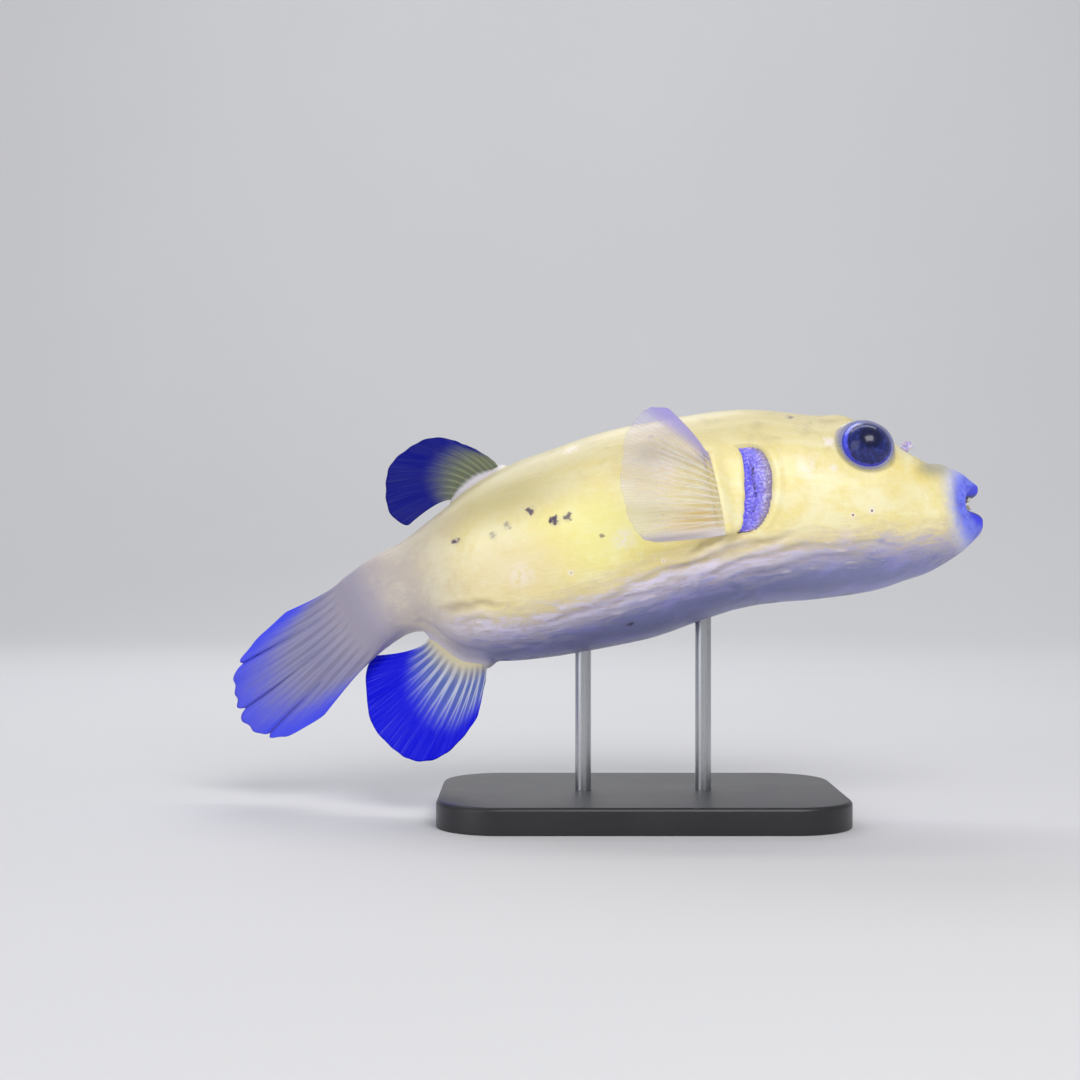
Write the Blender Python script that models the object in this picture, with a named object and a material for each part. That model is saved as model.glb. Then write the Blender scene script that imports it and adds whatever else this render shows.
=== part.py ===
"""Golden puffer, a life-size still model swimming over a plain display stand.

The head points along +X, +Z is up and the fish's right side faces -Y. The origin is the middle of the
underside of the stand's base.

The body is first described straight. Its own coordinates are: along, the distance behind the lips;
side, out to the fish's left; and rise, up from the spine. place() then lays a point of that straight
fish along the bent and banked spine. Fins grow from the placed body as straight or curved fans of rays.
"""
import math

import bmesh
import bpy
import numpy as np
from mathutils import Vector
from mathutils.bvhtree import BVHTree

MM = 0.001

# The whole pose
LIPS = Vector((0.111, 0.0, 0.100))
BANK = math.radians(10.0)
PARTING = 0.0003

# Stations of the body in millimetres: distance behind the lips, height of the back over the spine,
# depth of the belly under it and half width. Then, in degrees, how far the spine there droops and how
# far it turns to the fish's left on its way to the tail.
STATIONS = (
    (0.0, 9.0, 11.2, 8.0, 0.0, 0.0),
    (7.0, 10.7, 14.8, 11.0, 0.0, 0.0),
    (13.0, 13.6, 18.6, 14.0, 0.0, 0.0),
    (19.5, 15.0, 22.0, 17.0, 0.0, 0.0),
    (26.0, 18.2, 24.0, 19.8, 0.0, 0.0),
    (32.0, 23.0, 26.0, 22.0, 0.0, 0.0),
    (38.0, 26.2, 27.4, 23.8, 0.5, 0.0),
    (58.5, 30.4, 29.6, 27.5, 2.0, 0.0),
    (78.0, 33.0, 30.4, 30.0, 5.5, 0.0),
    (98.0, 33.2, 32.6, 32.0, 11.0, 0.5),
    (118.0, 33.4, 34.8, 32.5, 14.0, 1.5),
    (138.0, 31.3, 33.8, 30.5, 14.0, 3.0),
    (158.0, 27.5, 31.8, 25.5, 13.0, 6.0),
    (175.0, 20.3, 27.6, 18.5, 15.0, 10.0),
    (188.5, 15.9, 15.4, 12.0, 22.0, 13.0),
    (201.0, 16.0, 12.2, 8.0, 35.0, 16.0),
    (212.0, 17.0, 12.0, 5.5, 41.0, 18.0),
)
ROUNDNESS = 2.25
AROUND = 52

# Where the body is parted, and the rings of each length
NECK = 86.0
WAIST = 146.0
TAIL_END = 207.0
HEAD_RINGS = (
    81, 76, 71, 66, 61, 57, 53.5, 50.5, 48, 45.5, 43, 40.5, 38, 35.5, 33, 30.5, 28, 25, 22, 19, 16, 13, 10,
)
TRUNK_RINGS = (92, 99, 106, 114, 122, 130, 138)
TAIL_RINGS = (150, 154, 158, 163, 168, 173, 178, 183, 188, 193, 198, 203)

# Rings of the muzzle, over the lips and into the mouth: distance behind the lips, height of the ring's
# middle, its half height and half width, and how far the corners of the mouth lie behind its middle
MUZZLE = (
    (7.4, -2.1, 12.9, 11.2, 1.3),
    (4.6, -1.7, 10.9, 10.4, 2.9),
    (2.4, -1.1, 9.3, 9.8, 4.4),
    (0.8, -0.4, 8.1, 9.0, 5.7),
    (0.0, 0.5, 6.8, 8.0, 6.6),
    (-0.1, 0.9, 5.2, 7.0, 7.0),
    (0.5, 1.0, 3.8, 6.2, 7.0),
    (1.7, 1.0, 2.9, 5.6, 6.5),
    (3.2, 1.0, 2.5, 5.3, 5.4),
    (6.0, 1.0, 2.9, 5.2, 3.2),
    (9.5, 0.9, 3.4, 5.0, 0.6),
    (13.0, 0.5, 2.0, 3.4, 0.0),
)
UPPER_LIP_SET_BACK = 0.6

# Eyes: their middle in the straight fish, the ball, its way out (to the front, sideways and up), the
# mound of skin that wraps it, how softly that mound rises, and the round opening between the lids. The
# lids are a ring round that opening.
EYE_ALONG = 40.4
EYE_SIDE = 16.9
EYE_RISE = 15.6
EYE_RADIUS = 9.0
EYE_WAY = (0.08, 0.965, 0.25)
EYE_MOUND = 10.2
EYE_BLEND = 1.2
LID_OPENING = 8.3
LID_CUT_LENGTH = 14.0
LID_THICKNESS = 1.7
LID_OUT = 3.7
LID_SIDES = 30

# Nostril flaps
NOSTRIL_ALONG = 26.8
NOSTRIL_SIDE = 9.0
NOSTRIL_HEIGHT = 3.4
FLAP_SIDES = 8

# Gill openings: a blunt crescent, bulging towards the head, from its lowest to its highest point
GILL_MIDDLE = 2.4
GILL_HALF_HEIGHT = 14.0
GILL_FRONT = 79.4
GILL_FRONT_BULGE = 8.2
GILL_BACK = 84.0
GILL_BACK_BULGE = 3.5
GILL_BLUNTNESS = 0.45
GILL_LEAN = 3.0
GILL_DEPTH = 2.5
GILL_FLAP_SUNK = 0.9
GILL_RIBS = 9

# Fins. Each has keys from its first ray to its last: place along the row, angle of the ray up from the
# spine's own way to the tail, length, and lean to the fish's left.
DORSAL_ROOT = (151.0, 168.0)
DORSAL_RAYS = 11
DORSAL = (
    (0.0, 52.0, 16.5, 0.10),
    (0.2, 52.0, 25.1, 0.13),
    (0.4, 40.6, 31.9, 0.17),
    (0.6, 28.7, 33.9, 0.22),
    (0.8, 15.5, 31.4, 0.26),
    (0.92, 3.4, 28.0, 0.29),
    (1.0, -6.5, 22.5, 0.30),
)
DORSAL_ROOT_THICKNESS = 4.5
ANAL_ROOT = (169.0, 186.5)
ANAL_RAYS = 12
ANAL = (
    (0.0, 65.7, 20.4, 0.04),
    (0.15, 59.0, 30.5, 0.04),
    (0.3, 52.8, 37.4, 0.05),
    (0.45, 44.4, 39.1, 0.08),
    (0.6, 34.7, 38.8, 0.13),
    (0.75, 23.6, 36.2, 0.20),
    (0.88, 13.2, 32.6, 0.28),
    (1.0, 6.0, 26.0, 0.34),
)
ANAL_ROOT_THICKNESS = 5.0
CAUDAL_RAYS = 11
CAUDAL = (
    (0.0, 13.1, 28.5, 0.05),
    (0.1, 13.6, 43.0, 0.07),
    (0.25, 11.0, 54.1, 0.10),
    (0.5, 7.0, 61.5, 0.14),
    (0.75, 1.1, 60.3, 0.16),
    (0.9, -3.8, 52.6, 0.16),
    (1.0, -4.4, 39.5, 0.16),
)
# Pectoral fins: keys from the top ray to the lowest one, as shares of its way towards the tail, up and
# out from the body, and its length. The root leans back towards its top.
PECTORAL_ALONG = (89.2, 88.0)
PECTORAL_RISE = (13.6, -11.2)
PECTORAL_RAYS = 15
PECTORAL_ROOT_THICKNESS = 2.4
PECTORAL_RIGHT = (
    (0.0, 0.50, 0.69, 0.52, 23.0),
    (0.12, 0.60, 0.57, 0.56, 30.0),
    (0.3, 0.71, 0.36, 0.60, 35.6),
    (0.5, 0.79, 0.15, 0.60, 36.8),
    (0.75, 0.88, 0.01, 0.48, 32.9),
    (0.9, 0.93, -0.03, 0.36, 28.4),
    (1.0, 0.96, -0.06, 0.28, 23.2),
)
PECTORAL_LEFT = (
    (0.0, 0.64, 0.48, 0.60, 23.0),
    (0.12, 0.70, 0.36, 0.61, 30.0),
    (0.3, 0.77, 0.18, 0.61, 35.0),
    (0.5, 0.83, 0.00, 0.56, 36.5),
    (0.75, 0.89, -0.12, 0.43, 33.0),
    (0.9, 0.92, -0.20, 0.33, 28.5),
    (1.0, 0.93, -0.25, 0.27, 23.5),
)
FIN_ROWS = (0.0, 0.07, 0.18, 0.33, 0.5, 0.68, 0.85, 1.0)
FIN_EDGE = 0.55
RAY_RIDGE = 1.1
MEMBRANE_NOTCH = 0.035

# Teeth: each jaw's fused plate is an arc behind its lip, from its root to its cutting edge
TOOTH_CENTRE = 8.2
TOOTH_RADIUS = 4.6
TOOTH_THICKNESS = 1.5
TOOTH_SPAN = math.radians(80.0)
UPPER_TEETH = (2.85, 1.7)
LOWER_TEETH = (-0.85, 0.2)

# Stand
BASE_LENGTH = 0.130
BASE_WIDTH = 0.084
BASE_HEIGHT = 0.0085
BASE_CORNER = 0.020
BASE_CHAMFER = 0.0012
ROD_RADIUS = 0.0026
ROD_PLACES = {"stand_rod_front": 0.0205, "stand_rod_rear": -0.0185}
ROD_SIDES = 16

COLOURS = {
    "gold": ((0.86, 0.74, 0.33), 0.5, 0.0),
    "lilac": ((0.42, 0.42, 0.72), 0.5, 0.0),
    "blue": ((0.14, 0.18, 0.62), 0.45, 0.0),
    "eye": ((0.01, 0.015, 0.08), 0.12, 0.0),
    "gill": ((0.24, 0.20, 0.55), 0.45, 0.0),
    "tooth": ((0.88, 0.86, 0.80), 0.3, 0.0),
    "base": ((0.045, 0.045, 0.05), 0.4, 0.0),
    "rod": ((0.60, 0.61, 0.63), 0.3, 1.0),
}


def slopes(knots, values):
    """Slopes of a smooth curve that never swings past its own points."""
    steps = np.diff(knots)
    rises = np.diff(values) / steps
    result = np.empty(len(knots))
    result[0] = rises[0]
    result[-1] = rises[-1]
    for i in range(1, len(knots) - 1):
        before, after = rises[i - 1], rises[i]
        if before * after <= 0:
            result[i] = 0.0
        else:
            w1 = 2 * steps[i] + steps[i - 1]
            w2 = steps[i] + 2 * steps[i - 1]
            result[i] = (w1 + w2) / (w1 / before + w2 / after)
    return result


class Curve:
    """A smooth curve through the columns of a table whose first column is the knot."""

    def __init__(self, table):
        data = np.array(table, dtype=float)
        self.knots = data[:, 0]
        self.values = data[:, 1:]
        self.slopes = np.array([slopes(self.knots, column) for column in self.values.T]).T

    def at(self, knot):
        knot = min(max(knot, self.knots[0]), self.knots[-1])
        i = min(int(np.searchsorted(self.knots, knot, side="right")) - 1, len(self.knots) - 2)
        width = self.knots[i + 1] - self.knots[i]
        t = (knot - self.knots[i]) / width
        a, b = self.values[i], self.values[i + 1]
        m, n = self.slopes[i] * width, self.slopes[i + 1] * width
        return (a * (1 + 2 * t) * (1 - t) ** 2 + m * t * (1 - t) ** 2
                + b * t * t * (3 - 2 * t) + n * t * t * (t - 1))


BODY = Curve(STATIONS)


def frame(along):
    """The spine's way to the tail, the fish's left and its up, at a distance behind the lips."""
    droop, turn = np.radians(BODY.at(along)[3:5])
    tail = Vector((-math.cos(droop) * math.cos(turn), math.cos(droop) * math.sin(turn), -math.sin(droop)))
    level = Vector((math.sin(turn), math.cos(turn), 0.0))
    upright = level.cross(tail)
    left = level * math.cos(BANK) - upright * math.sin(BANK)
    up = upright * math.cos(BANK) + level * math.sin(BANK)
    return tail, left, up


def lay_spine(step=0.5):
    """Places along the spine, one for each step, from the lips to past the tail's root."""
    points = [LIPS.copy()]
    while len(points) * step < STATIONS[-1][0] + 2:
        tail, left, up = frame((len(points) - 0.5) * step)
        points.append(points[-1] + tail * step * MM)
    return points


SPINE_STEP = 0.5
SPINE = lay_spine(SPINE_STEP)


def spine(along):
    i = min(max(int(along / SPINE_STEP), 0), len(SPINE) - 2)
    return SPINE[i].lerp(SPINE[i + 1], along / SPINE_STEP - i)


def place(along, side, rise):
    """A point of the straight fish, in millimetres, laid along the bent spine, in metres."""
    tail, left, up = frame(along)
    return spine(along) + left * side * MM + up * rise * MM


def power(value):
    return math.copysign(abs(value) ** (2 / ROUNDNESS), value)


def wrap_eye(along, side, rise):
    """A point of the skin, moved out to the mound round the eyeball where it would lie within it."""
    centre = Vector((EYE_ALONG, math.copysign(EYE_SIDE, side), EYE_RISE))
    way = Vector((along, side, rise)) - centre
    apart = way.length
    reach = apart + EYE_BLEND * math.log1p(math.exp((EYE_MOUND - apart) / EYE_BLEND))
    return centre + way * (reach / apart)


def skin(along, angle):
    """The point of the skin at an angle round the spine, from the fish's left upwards."""
    back, belly, wide = BODY.at(along)[:3]
    rise = power(math.sin(angle)) * (back if math.sin(angle) > 0 else belly)
    return place(*wrap_eye(along, power(math.cos(angle)) * wide, rise))


def flank(along, rise, side):
    """The point of the skin at a height over the spine, on the right (-1) or the left (1)."""
    back, belly, wide = BODY.at(along)[:3]
    share = min(abs(rise) / (back if rise > 0 else belly), 1.0)
    return place(along, side * wide * (1 - share ** ROUNDNESS) ** (1 / ROUNDNESS), rise)


def flank_out(along, rise, side):
    """The skin's outward direction there."""
    reach = 0.8
    back = flank(along + reach, rise, side) - flank(along - reach, rise, side)
    up = flank(along, rise + reach, side) - flank(along, rise - reach, side)
    out = back.cross(up).normalized()
    return out if out.dot(frame(along)[1]) * side > 0 else -out


def shade(mesh):
    mesh.shade_smooth()
    mesh.set_sharp_from_angle(angle=math.radians(40))


def add(name, points, faces, colour):
    """A named object from points and faces, with its faces turned outwards and its own material."""
    mesh = bpy.data.meshes.new(name)
    mesh.from_pydata([tuple(point) for point in points], [], faces)
    shell = bmesh.new()
    shell.from_mesh(mesh)
    bmesh.ops.recalc_face_normals(shell, faces=shell.faces)
    shell.to_mesh(mesh)
    shell.free()
    piece = bpy.data.objects.new(name, mesh)
    bpy.context.scene.collection.objects.link(piece)
    finish(piece, colour)
    return piece


def finish(piece, colour):
    tint, roughness, metallic = COLOURS[colour]
    material = bpy.data.materials.new(piece.name)
    material.use_nodes = True
    shader = material.node_tree.nodes["Principled BSDF"]
    shader.inputs["Base Color"].default_value = (*tint, 1.0)
    shader.inputs["Roughness"].default_value = roughness
    shader.inputs["Metallic"].default_value = metallic
    piece.data.materials.clear()
    piece.data.materials.append(material)
    shade(piece.data)


def tube(rings):
    """Points and faces of a closed body through rings of equal size, with a flat cap at each end."""
    size = len(rings[0])
    points = [point for ring in rings for point in ring]
    faces = []
    for row in range(len(rings) - 1):
        for i in range(size):
            a, b = row * size + i, row * size + (i + 1) % size
            faces.append((a, b, b + size, a + size))
    faces.append(tuple(range(size)))
    faces.append(tuple(range(len(points) - size, len(points))))
    return points, faces


def merge(target, pieces, operation):
    """Join closed pieces to a target, or cut them from it, and keep only the largest closed surface."""
    group = bpy.data.collections.new("pieces")
    bpy.context.scene.collection.children.link(group)
    for piece in pieces:
        bpy.context.scene.collection.objects.unlink(piece)
        group.objects.link(piece)
    modifier = target.modifiers.new(operation.lower(), "BOOLEAN")
    modifier.operation = operation
    modifier.operand_type = "COLLECTION"
    modifier.collection = group
    modifier.solver = "EXACT"
    bpy.context.view_layer.update()
    evaluated = target.evaluated_get(bpy.context.evaluated_depsgraph_get())
    mesh = bpy.data.meshes.new_from_object(evaluated)
    target.modifiers.clear()
    target.data = mesh
    for piece in list(group.objects):
        bpy.data.objects.remove(piece)
    bpy.data.collections.remove(group)
    keep_largest(mesh)


def keep_largest(mesh):
    shell = bmesh.new()
    shell.from_mesh(mesh)
    left = set(shell.faces)
    groups = []
    while left:
        group = {left.pop()}
        edge_of_group = list(group)
        while edge_of_group:
            face = edge_of_group.pop()
            for near in (other for edge in face.edges for other in edge.link_faces):
                if near in left:
                    left.remove(near)
                    group.add(near)
                    edge_of_group.append(near)
        groups.append(group)
    groups.sort(key=lambda group: sum(face.calc_area() for face in group))
    scraps = [face for group in groups[:-1] for face in group]
    bmesh.ops.delete(shell, geom=scraps, context="FACES")
    bmesh.ops.triangulate(shell, faces=shell.faces)
    shell.to_mesh(mesh)
    shell.free()


def body_ring(along):
    return [skin(along, math.tau * i / AROUND) for i in range(AROUND)]


def muzzle_ring(along, middle, half_height, half_width, corner):
    ring = []
    for i in range(AROUND):
        angle = math.tau * i / AROUND
        back = along + corner * math.cos(angle) ** 2
        back += UPPER_LIP_SET_BACK * (1 + math.sin(angle)) * min(1.0, corner)
        side = power(math.cos(angle)) * half_width
        rise = middle + power(math.sin(angle)) * half_height
        ring.append(place(back, side, rise))
    return ring


def length_of_body(name, start, rings, end):
    rings = [body_ring(along) for along in (start, *rings, end)]
    return add(name, *tube(rings), "gold")


def ball(name, centre, radius, colour):
    mesh = bpy.data.meshes.new(name)
    shell = bmesh.new()
    bmesh.ops.create_uvsphere(shell, u_segments=22, v_segments=13, radius=radius)
    bmesh.ops.translate(shell, verts=shell.verts, vec=centre)
    shell.to_mesh(mesh)
    shell.free()
    piece = bpy.data.objects.new(name, mesh)
    bpy.context.scene.collection.objects.link(piece)
    finish(piece, colour)
    return piece


def eye_centre(side):
    return place(EYE_ALONG, side * EYE_SIDE, EYE_RISE)


def eye_ways(side):
    """The way an eye looks, and unit spokes all round that way."""
    tail, left, up = frame(EYE_ALONG)
    front, sideways, high = EYE_WAY
    out = (left * side * sideways + up * high - tail * front).normalized()
    across = out.orthogonal().normalized()
    third = out.cross(across)
    turns = [math.tau * i / LID_SIDES for i in range(LID_SIDES)]
    return out, [across * math.cos(turn) + third * math.sin(turn) for turn in turns]


def eye_opening(side):
    """A round cutter from the middle of an eye outwards, which opens the skin between its lids."""
    out, spokes = eye_ways(side)
    near = [eye_centre(side) + spoke * LID_OPENING * MM for spoke in spokes]
    far = [point + out * LID_CUT_LENGTH * MM for point in near]
    return add("eye opening", *tube([near, far]), "gold")


def lid_ring(side):
    """The round rim of the lids, a closed ring about the opening."""
    out, spokes = eye_ways(side)
    half = LID_THICKNESS / 2
    points = []
    for spoke in spokes:
        middle = eye_centre(side) + (spoke * (LID_OPENING + half * 0.9) + out * LID_OUT) * MM
        for j in range(FLAP_SIDES):
            turn = math.tau * j / FLAP_SIDES
            points.append(middle + (spoke * math.cos(turn) + out * math.sin(turn)) * half * MM)
    faces = []
    for i in range(LID_SIDES):
        for j in range(FLAP_SIDES):
            a, b = i * FLAP_SIDES + j, i * FLAP_SIDES + (j + 1) % FLAP_SIDES
            c, d = (b + FLAP_SIDES) % len(points), (a + FLAP_SIDES) % len(points)
            faces.append((a, b, c, d))
    return add("lid ring", points, faces, "gold")


def gill_edges(height):
    """How far behind the lips the gill opening's front and back edges lie, at a height from -1 to 1."""
    bulge = (1 - height * height) ** GILL_BLUNTNESS
    lean = GILL_LEAN * (0.5 + 0.5 * height) ** 2
    return GILL_FRONT - GILL_FRONT_BULGE * bulge - lean, GILL_BACK - GILL_BACK_BULGE * bulge - lean


def gill_point(height, share, lift, side):
    """A point of the gill opening: height from -1 to 1, share of the way from its front to its back."""
    front, back = gill_edges(height)
    along = front + (back - front) * share
    rise = GILL_MIDDLE + GILL_HALF_HEIGHT * height
    return flank(along, rise, side) + flank_out(along, rise, side) * lift * MM


def gill_block(name, side, rows, columns, margin, low, high):
    """A closed crescent block that follows the skin, its outer face ribbed where high says so."""
    top, bottom = [], []
    for i in range(rows + 1):
        height = math.sin(math.pi * (i / rows - 0.5)) * (1 - margin / GILL_HALF_HEIGHT)
        front, back = gill_edges(height)
        before, after = (gill_edges(min(1.0, max(-1.0, height + step)))[0] for step in (-0.01, 0.01))
        slope = (after - before) / (0.02 * GILL_HALF_HEIGHT)
        inset = margin * min(3.0, math.hypot(1.0, slope)) / (back - front)
        for j in range(columns + 1):
            share = inset + (1 - 2 * inset) * j / columns
            top.append(gill_point(height, share, high(i), side))
            bottom.append(gill_point(height, share, low, side))
    return add(name, *plate(top, bottom, rows + 1, columns + 1), "gill")


def plate(top, bottom, rows, columns):
    """Points and triangles of a closed plate from two like grids, split alike on both faces."""
    count = rows * columns
    faces = []
    for i in range(rows - 1):
        for j in range(columns - 1):
            a = i * columns + j
            b, c, d = a + 1, a + columns + 1, a + columns
            faces += [(a, b, c), (a, c, d)]
            faces += [(count + c, count + b, count + a), (count + d, count + c, count + a)]
    rim = [j for j in range(columns)]
    rim += [i * columns + columns - 1 for i in range(1, rows)]
    rim += [(rows - 1) * columns + j for j in range(columns - 2, -1, -1)]
    rim += [i * columns for i in range(rows - 2, 0, -1)]
    for a, b in zip(rim, rim[1:] + rim[:1]):
        faces += [(a, b, count + b), (a, count + b, count + a)]
    return list(top) + list(bottom), faces


def gill(name, side):
    def ribbed(row):
        return -GILL_FLAP_SUNK + (0.35 if row % 2 else -0.1)
    floor = -GILL_DEPTH + PARTING / MM
    return gill_block(name, side, 2 * GILL_RIBS, 3, PARTING / MM, floor, ribbed)


def gill_cutter(side):
    return gill_block("gill cutter", side, 2 * GILL_RIBS, 3, 0.0, -GILL_DEPTH, lambda row: 2.0)


def head():
    muzzle = [muzzle_ring(*row) for row in MUZZLE]
    rings = [body_ring(along) for along in (NECK - PARTING / MM / 2, *HEAD_RINGS)] + muzzle
    piece = add("head", *tube(rings), "gold")
    merge(piece, [lid_ring(-1), lid_ring(1)], "UNION")
    cutters = []
    for side in (-1, 1):
        cutters.append(ball("socket", eye_centre(side), EYE_RADIUS * MM + PARTING, "gold"))
        cutters.append(eye_opening(side))
        cutters.append(gill_cutter(side))
    merge(piece, cutters, "DIFFERENCE")
    finish(piece, "gold")
    return piece


def flap(root, way, flat, length, wide, thick):
    """One fleshy lobe: a tapered blade with a round section, its root ring at the given point."""
    third = way.cross(flat).normalized()
    rings = []
    for share, full in ((0.0, 0.75), (0.25, 0.95), (0.55, 1.0), (0.85, 0.7), (1.0, 0.3)):
        middle = root + way * length * share
        ring = []
        for i in range(FLAP_SIDES):
            turn = math.tau * i / FLAP_SIDES
            ring.append(middle + third * wide * full * math.cos(turn) + flat * thick * full * math.sin(turn))
        rings.append(ring)
    return tube(rings)


def nostril(name, side):
    """A pair of solid lobes on one short foot, which stands on the snout."""
    back, belly, wide = BODY.at(NOSTRIL_ALONG)[:3]
    rise = back * (1 - (NOSTRIL_SIDE / wide) ** ROUNDNESS) ** (1 / ROUNDNESS)
    out = flank_out(NOSTRIL_ALONG, rise, side)
    root = flank(NOSTRIL_ALONG, rise, side) + out * PARTING
    tail, left, up = frame(NOSTRIL_ALONG)
    fore = (tail - out * tail.dot(out)).normalized()
    flat = out.cross(fore).normalized()
    height = NOSTRIL_HEIGHT * MM
    foot = add(name, *flap(root, out, flat, height * 0.45, 1.5 * MM, 1.1 * MM), "lilac")
    lobes = []
    for lean in (-0.55, 0.55):
        way = (out + fore * lean).normalized()
        start = root + out * height * 0.15
        lobes.append(add("lobe", *flap(start, way, flat, height * 0.85, 1.1 * MM, 0.7 * MM), "lilac"))
    merge(foot, lobes, "UNION")
    finish(foot, "lilac")
    return foot


def fan(name, rays, root_thickness, colour, knee=0.28):
    """A fin: rays given as (root, outward way, tip), with a raised ray at every other column."""
    columns = 2 * len(rays) - 1
    spread = Curve([(i, *ray[0], *ray[1], *ray[2]) for i, ray in enumerate(rays)])
    middle = []
    for j in range(columns):
        values = spread.at(j / 2)
        root, out, tip = Vector(values[:3]), Vector(values[3:6]).normalized(), Vector(values[6:])
        if j % 2:
            tip = tip.lerp(root, MEMBRANE_NOTCH)
        bend = root + out * (tip - root).length * knee
        middle.append([root * (1 - u) ** 2 + bend * 2 * u * (1 - u) + tip * u * u for u in FIN_ROWS])
    top, bottom = [], []
    for i, u in enumerate(FIN_ROWS):
        for j in range(columns):
            here = middle[j][i]
            down = middle[j][min(i + 1, len(FIN_ROWS) - 1)] - middle[j][max(i - 1, 0)]
            if i == 0:
                down = Vector(spread.at(j / 2)[3:6])
            over = middle[min(j + 1, columns - 1)][i] - middle[max(j - 1, 0)][i]
            normal = down.cross(over).normalized()
            half = FIN_EDGE / 2 + (root_thickness(j / (columns - 1)) - FIN_EDGE) / 2 * (1 - u) ** 3
            if j % 2 == 0:
                half += RAY_RIDGE / 2 * min(1.0, u / 0.12) * (1 - 0.45 * u)
            top.append(here + normal * half * MM)
            bottom.append(here - normal * half * MM)
    return add(name, *plate(top, bottom, len(FIN_ROWS), columns), colour)


def midline_fin(name, roots, keys, count, thickness, up_or_down):
    """The dorsal fin (1) or the anal fin (-1), whose roots lie on the back or under the belly."""
    shape = Curve(keys)
    tail, left, up = frame(sum(roots) / 2)
    rays = []
    for i in range(count):
        share = i / (count - 1)
        along = roots[0] + (roots[1] - roots[0]) * share
        before, after = (skin(along + step, up_or_down * math.pi / 2) for step in (-1, 1))
        run = (after - before).normalized()
        here = frame(along)[2] * up_or_down
        out = (here - run * here.dot(run)).normalized()
        root = skin(along, up_or_down * math.pi / 2) + out * PARTING * (1 + share)
        angle, length, lean = shape.at(share)
        angle = math.radians(angle)
        way = tail * math.cos(angle) + up * up_or_down * math.sin(angle) + left * lean
        rays.append((root, out, root + way.normalized() * length * MM))
    return fan(name, rays, lambda share: thickness * (1 - 0.4 * share * share), "blue")


def tail_fin():
    """The caudal fin, a fan whose root covers the end of the tail stock."""
    shape = Curve(CAUDAL)
    tail, left, up = frame(TAIL_END)
    back, belly, wide = BODY.at(TAIL_END)[:3]
    rays = []
    for i in range(CAUDAL_RAYS):
        share = i / (CAUDAL_RAYS - 1)
        rise = (back + (-belly - back) * share) * 0.97
        root = place(TAIL_END + PARTING / MM, 0.0, rise)
        angle, length, lean = shape.at(share)
        angle = math.radians(angle)
        way = tail * math.cos(angle) + up * math.sin(angle) + left * lean
        rays.append((root, tail, root + way.normalized() * length * MM))

    def thickness(share):
        return max(1.2, 2 * wide * (1 - abs(2 * share - 1) ** ROUNDNESS) ** (1 / ROUNDNESS))
    return fan("fin_caudal", rays, thickness, "blue")


def pectoral_fin(name, side, keys):
    shape = Curve(keys)
    tail, left, up = frame(sum(PECTORAL_ALONG) / 2)
    rays = []
    for i in range(PECTORAL_RAYS):
        share = i / (PECTORAL_RAYS - 1)
        along, rise = (first + (last - first) * share for first, last in (PECTORAL_ALONG, PECTORAL_RISE))
        out = flank_out(along, rise, side)
        root = flank(along, rise, side) + out * PARTING
        back, high, wide, length = shape.at(share)
        way = tail * back + up * high + left * side * wide
        rays.append((root, out, root + way.normalized() * length * MM))
    return fan(name, rays, lambda share: PECTORAL_ROOT_THICKNESS, "lilac", knee=0.22)


def teeth(name, root, edge):
    """One jaw's fused tooth plate, an arc from its root behind the lip to its cutting edge."""
    steps = 8
    points = []
    for i in range(steps + 1):
        angle = TOOTH_SPAN * (i / steps - 0.5)
        for radius, rise in ((TOOTH_RADIUS, root), (TOOTH_RADIUS - 0.3, edge),
                             (TOOTH_RADIUS - 0.9, edge), (TOOTH_RADIUS - TOOTH_THICKNESS, root)):
            along = TOOTH_CENTRE - radius * math.cos(angle)
            points.append(place(along, radius * math.sin(angle), rise))
    rings = [points[4 * i:4 * i + 4] for i in range(steps + 1)]
    return add(name, *tube(rings), "tooth")


def stand_base():
    def ring(inset, height):
        outline = []
        for x, y, start in ((1, 1, 0), (-1, 1, 90), (-1, -1, 180), (1, -1, 270)):
            for i in range(7):
                turn = math.radians(start + 15 * i)
                round_off = BASE_CORNER - inset
                outline.append(Vector((x * (BASE_LENGTH / 2 - BASE_CORNER) + round_off * math.cos(turn),
                                       y * (BASE_WIDTH / 2 - BASE_CORNER) + round_off * math.sin(turn),
                                       height)))
        return outline
    rings = [ring(0, 0), ring(0, BASE_HEIGHT - BASE_CHAMFER), ring(BASE_CHAMFER, BASE_HEIGHT)]
    return add("stand_base", *tube(rings), "base")


def stand_rod(name, x, body):
    """A rod from the base up to the belly, its top cut to the belly's slope."""
    tree = BVHTree.FromObject(body, bpy.context.evaluated_depsgraph_get())
    low, high = [], []
    for i in range(ROD_SIDES):
        turn = math.tau * i / ROD_SIDES
        spot = Vector((x + ROD_RADIUS * math.cos(turn), ROD_RADIUS * math.sin(turn), 0.0))
        belly = tree.ray_cast(spot, Vector((0, 0, 1)))[0]
        low.append(Vector((spot.x, spot.y, BASE_HEIGHT + PARTING)))
        high.append(belly - Vector((0, 0, PARTING)))
    return add(name, *tube([low, high]), "rod")


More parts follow.
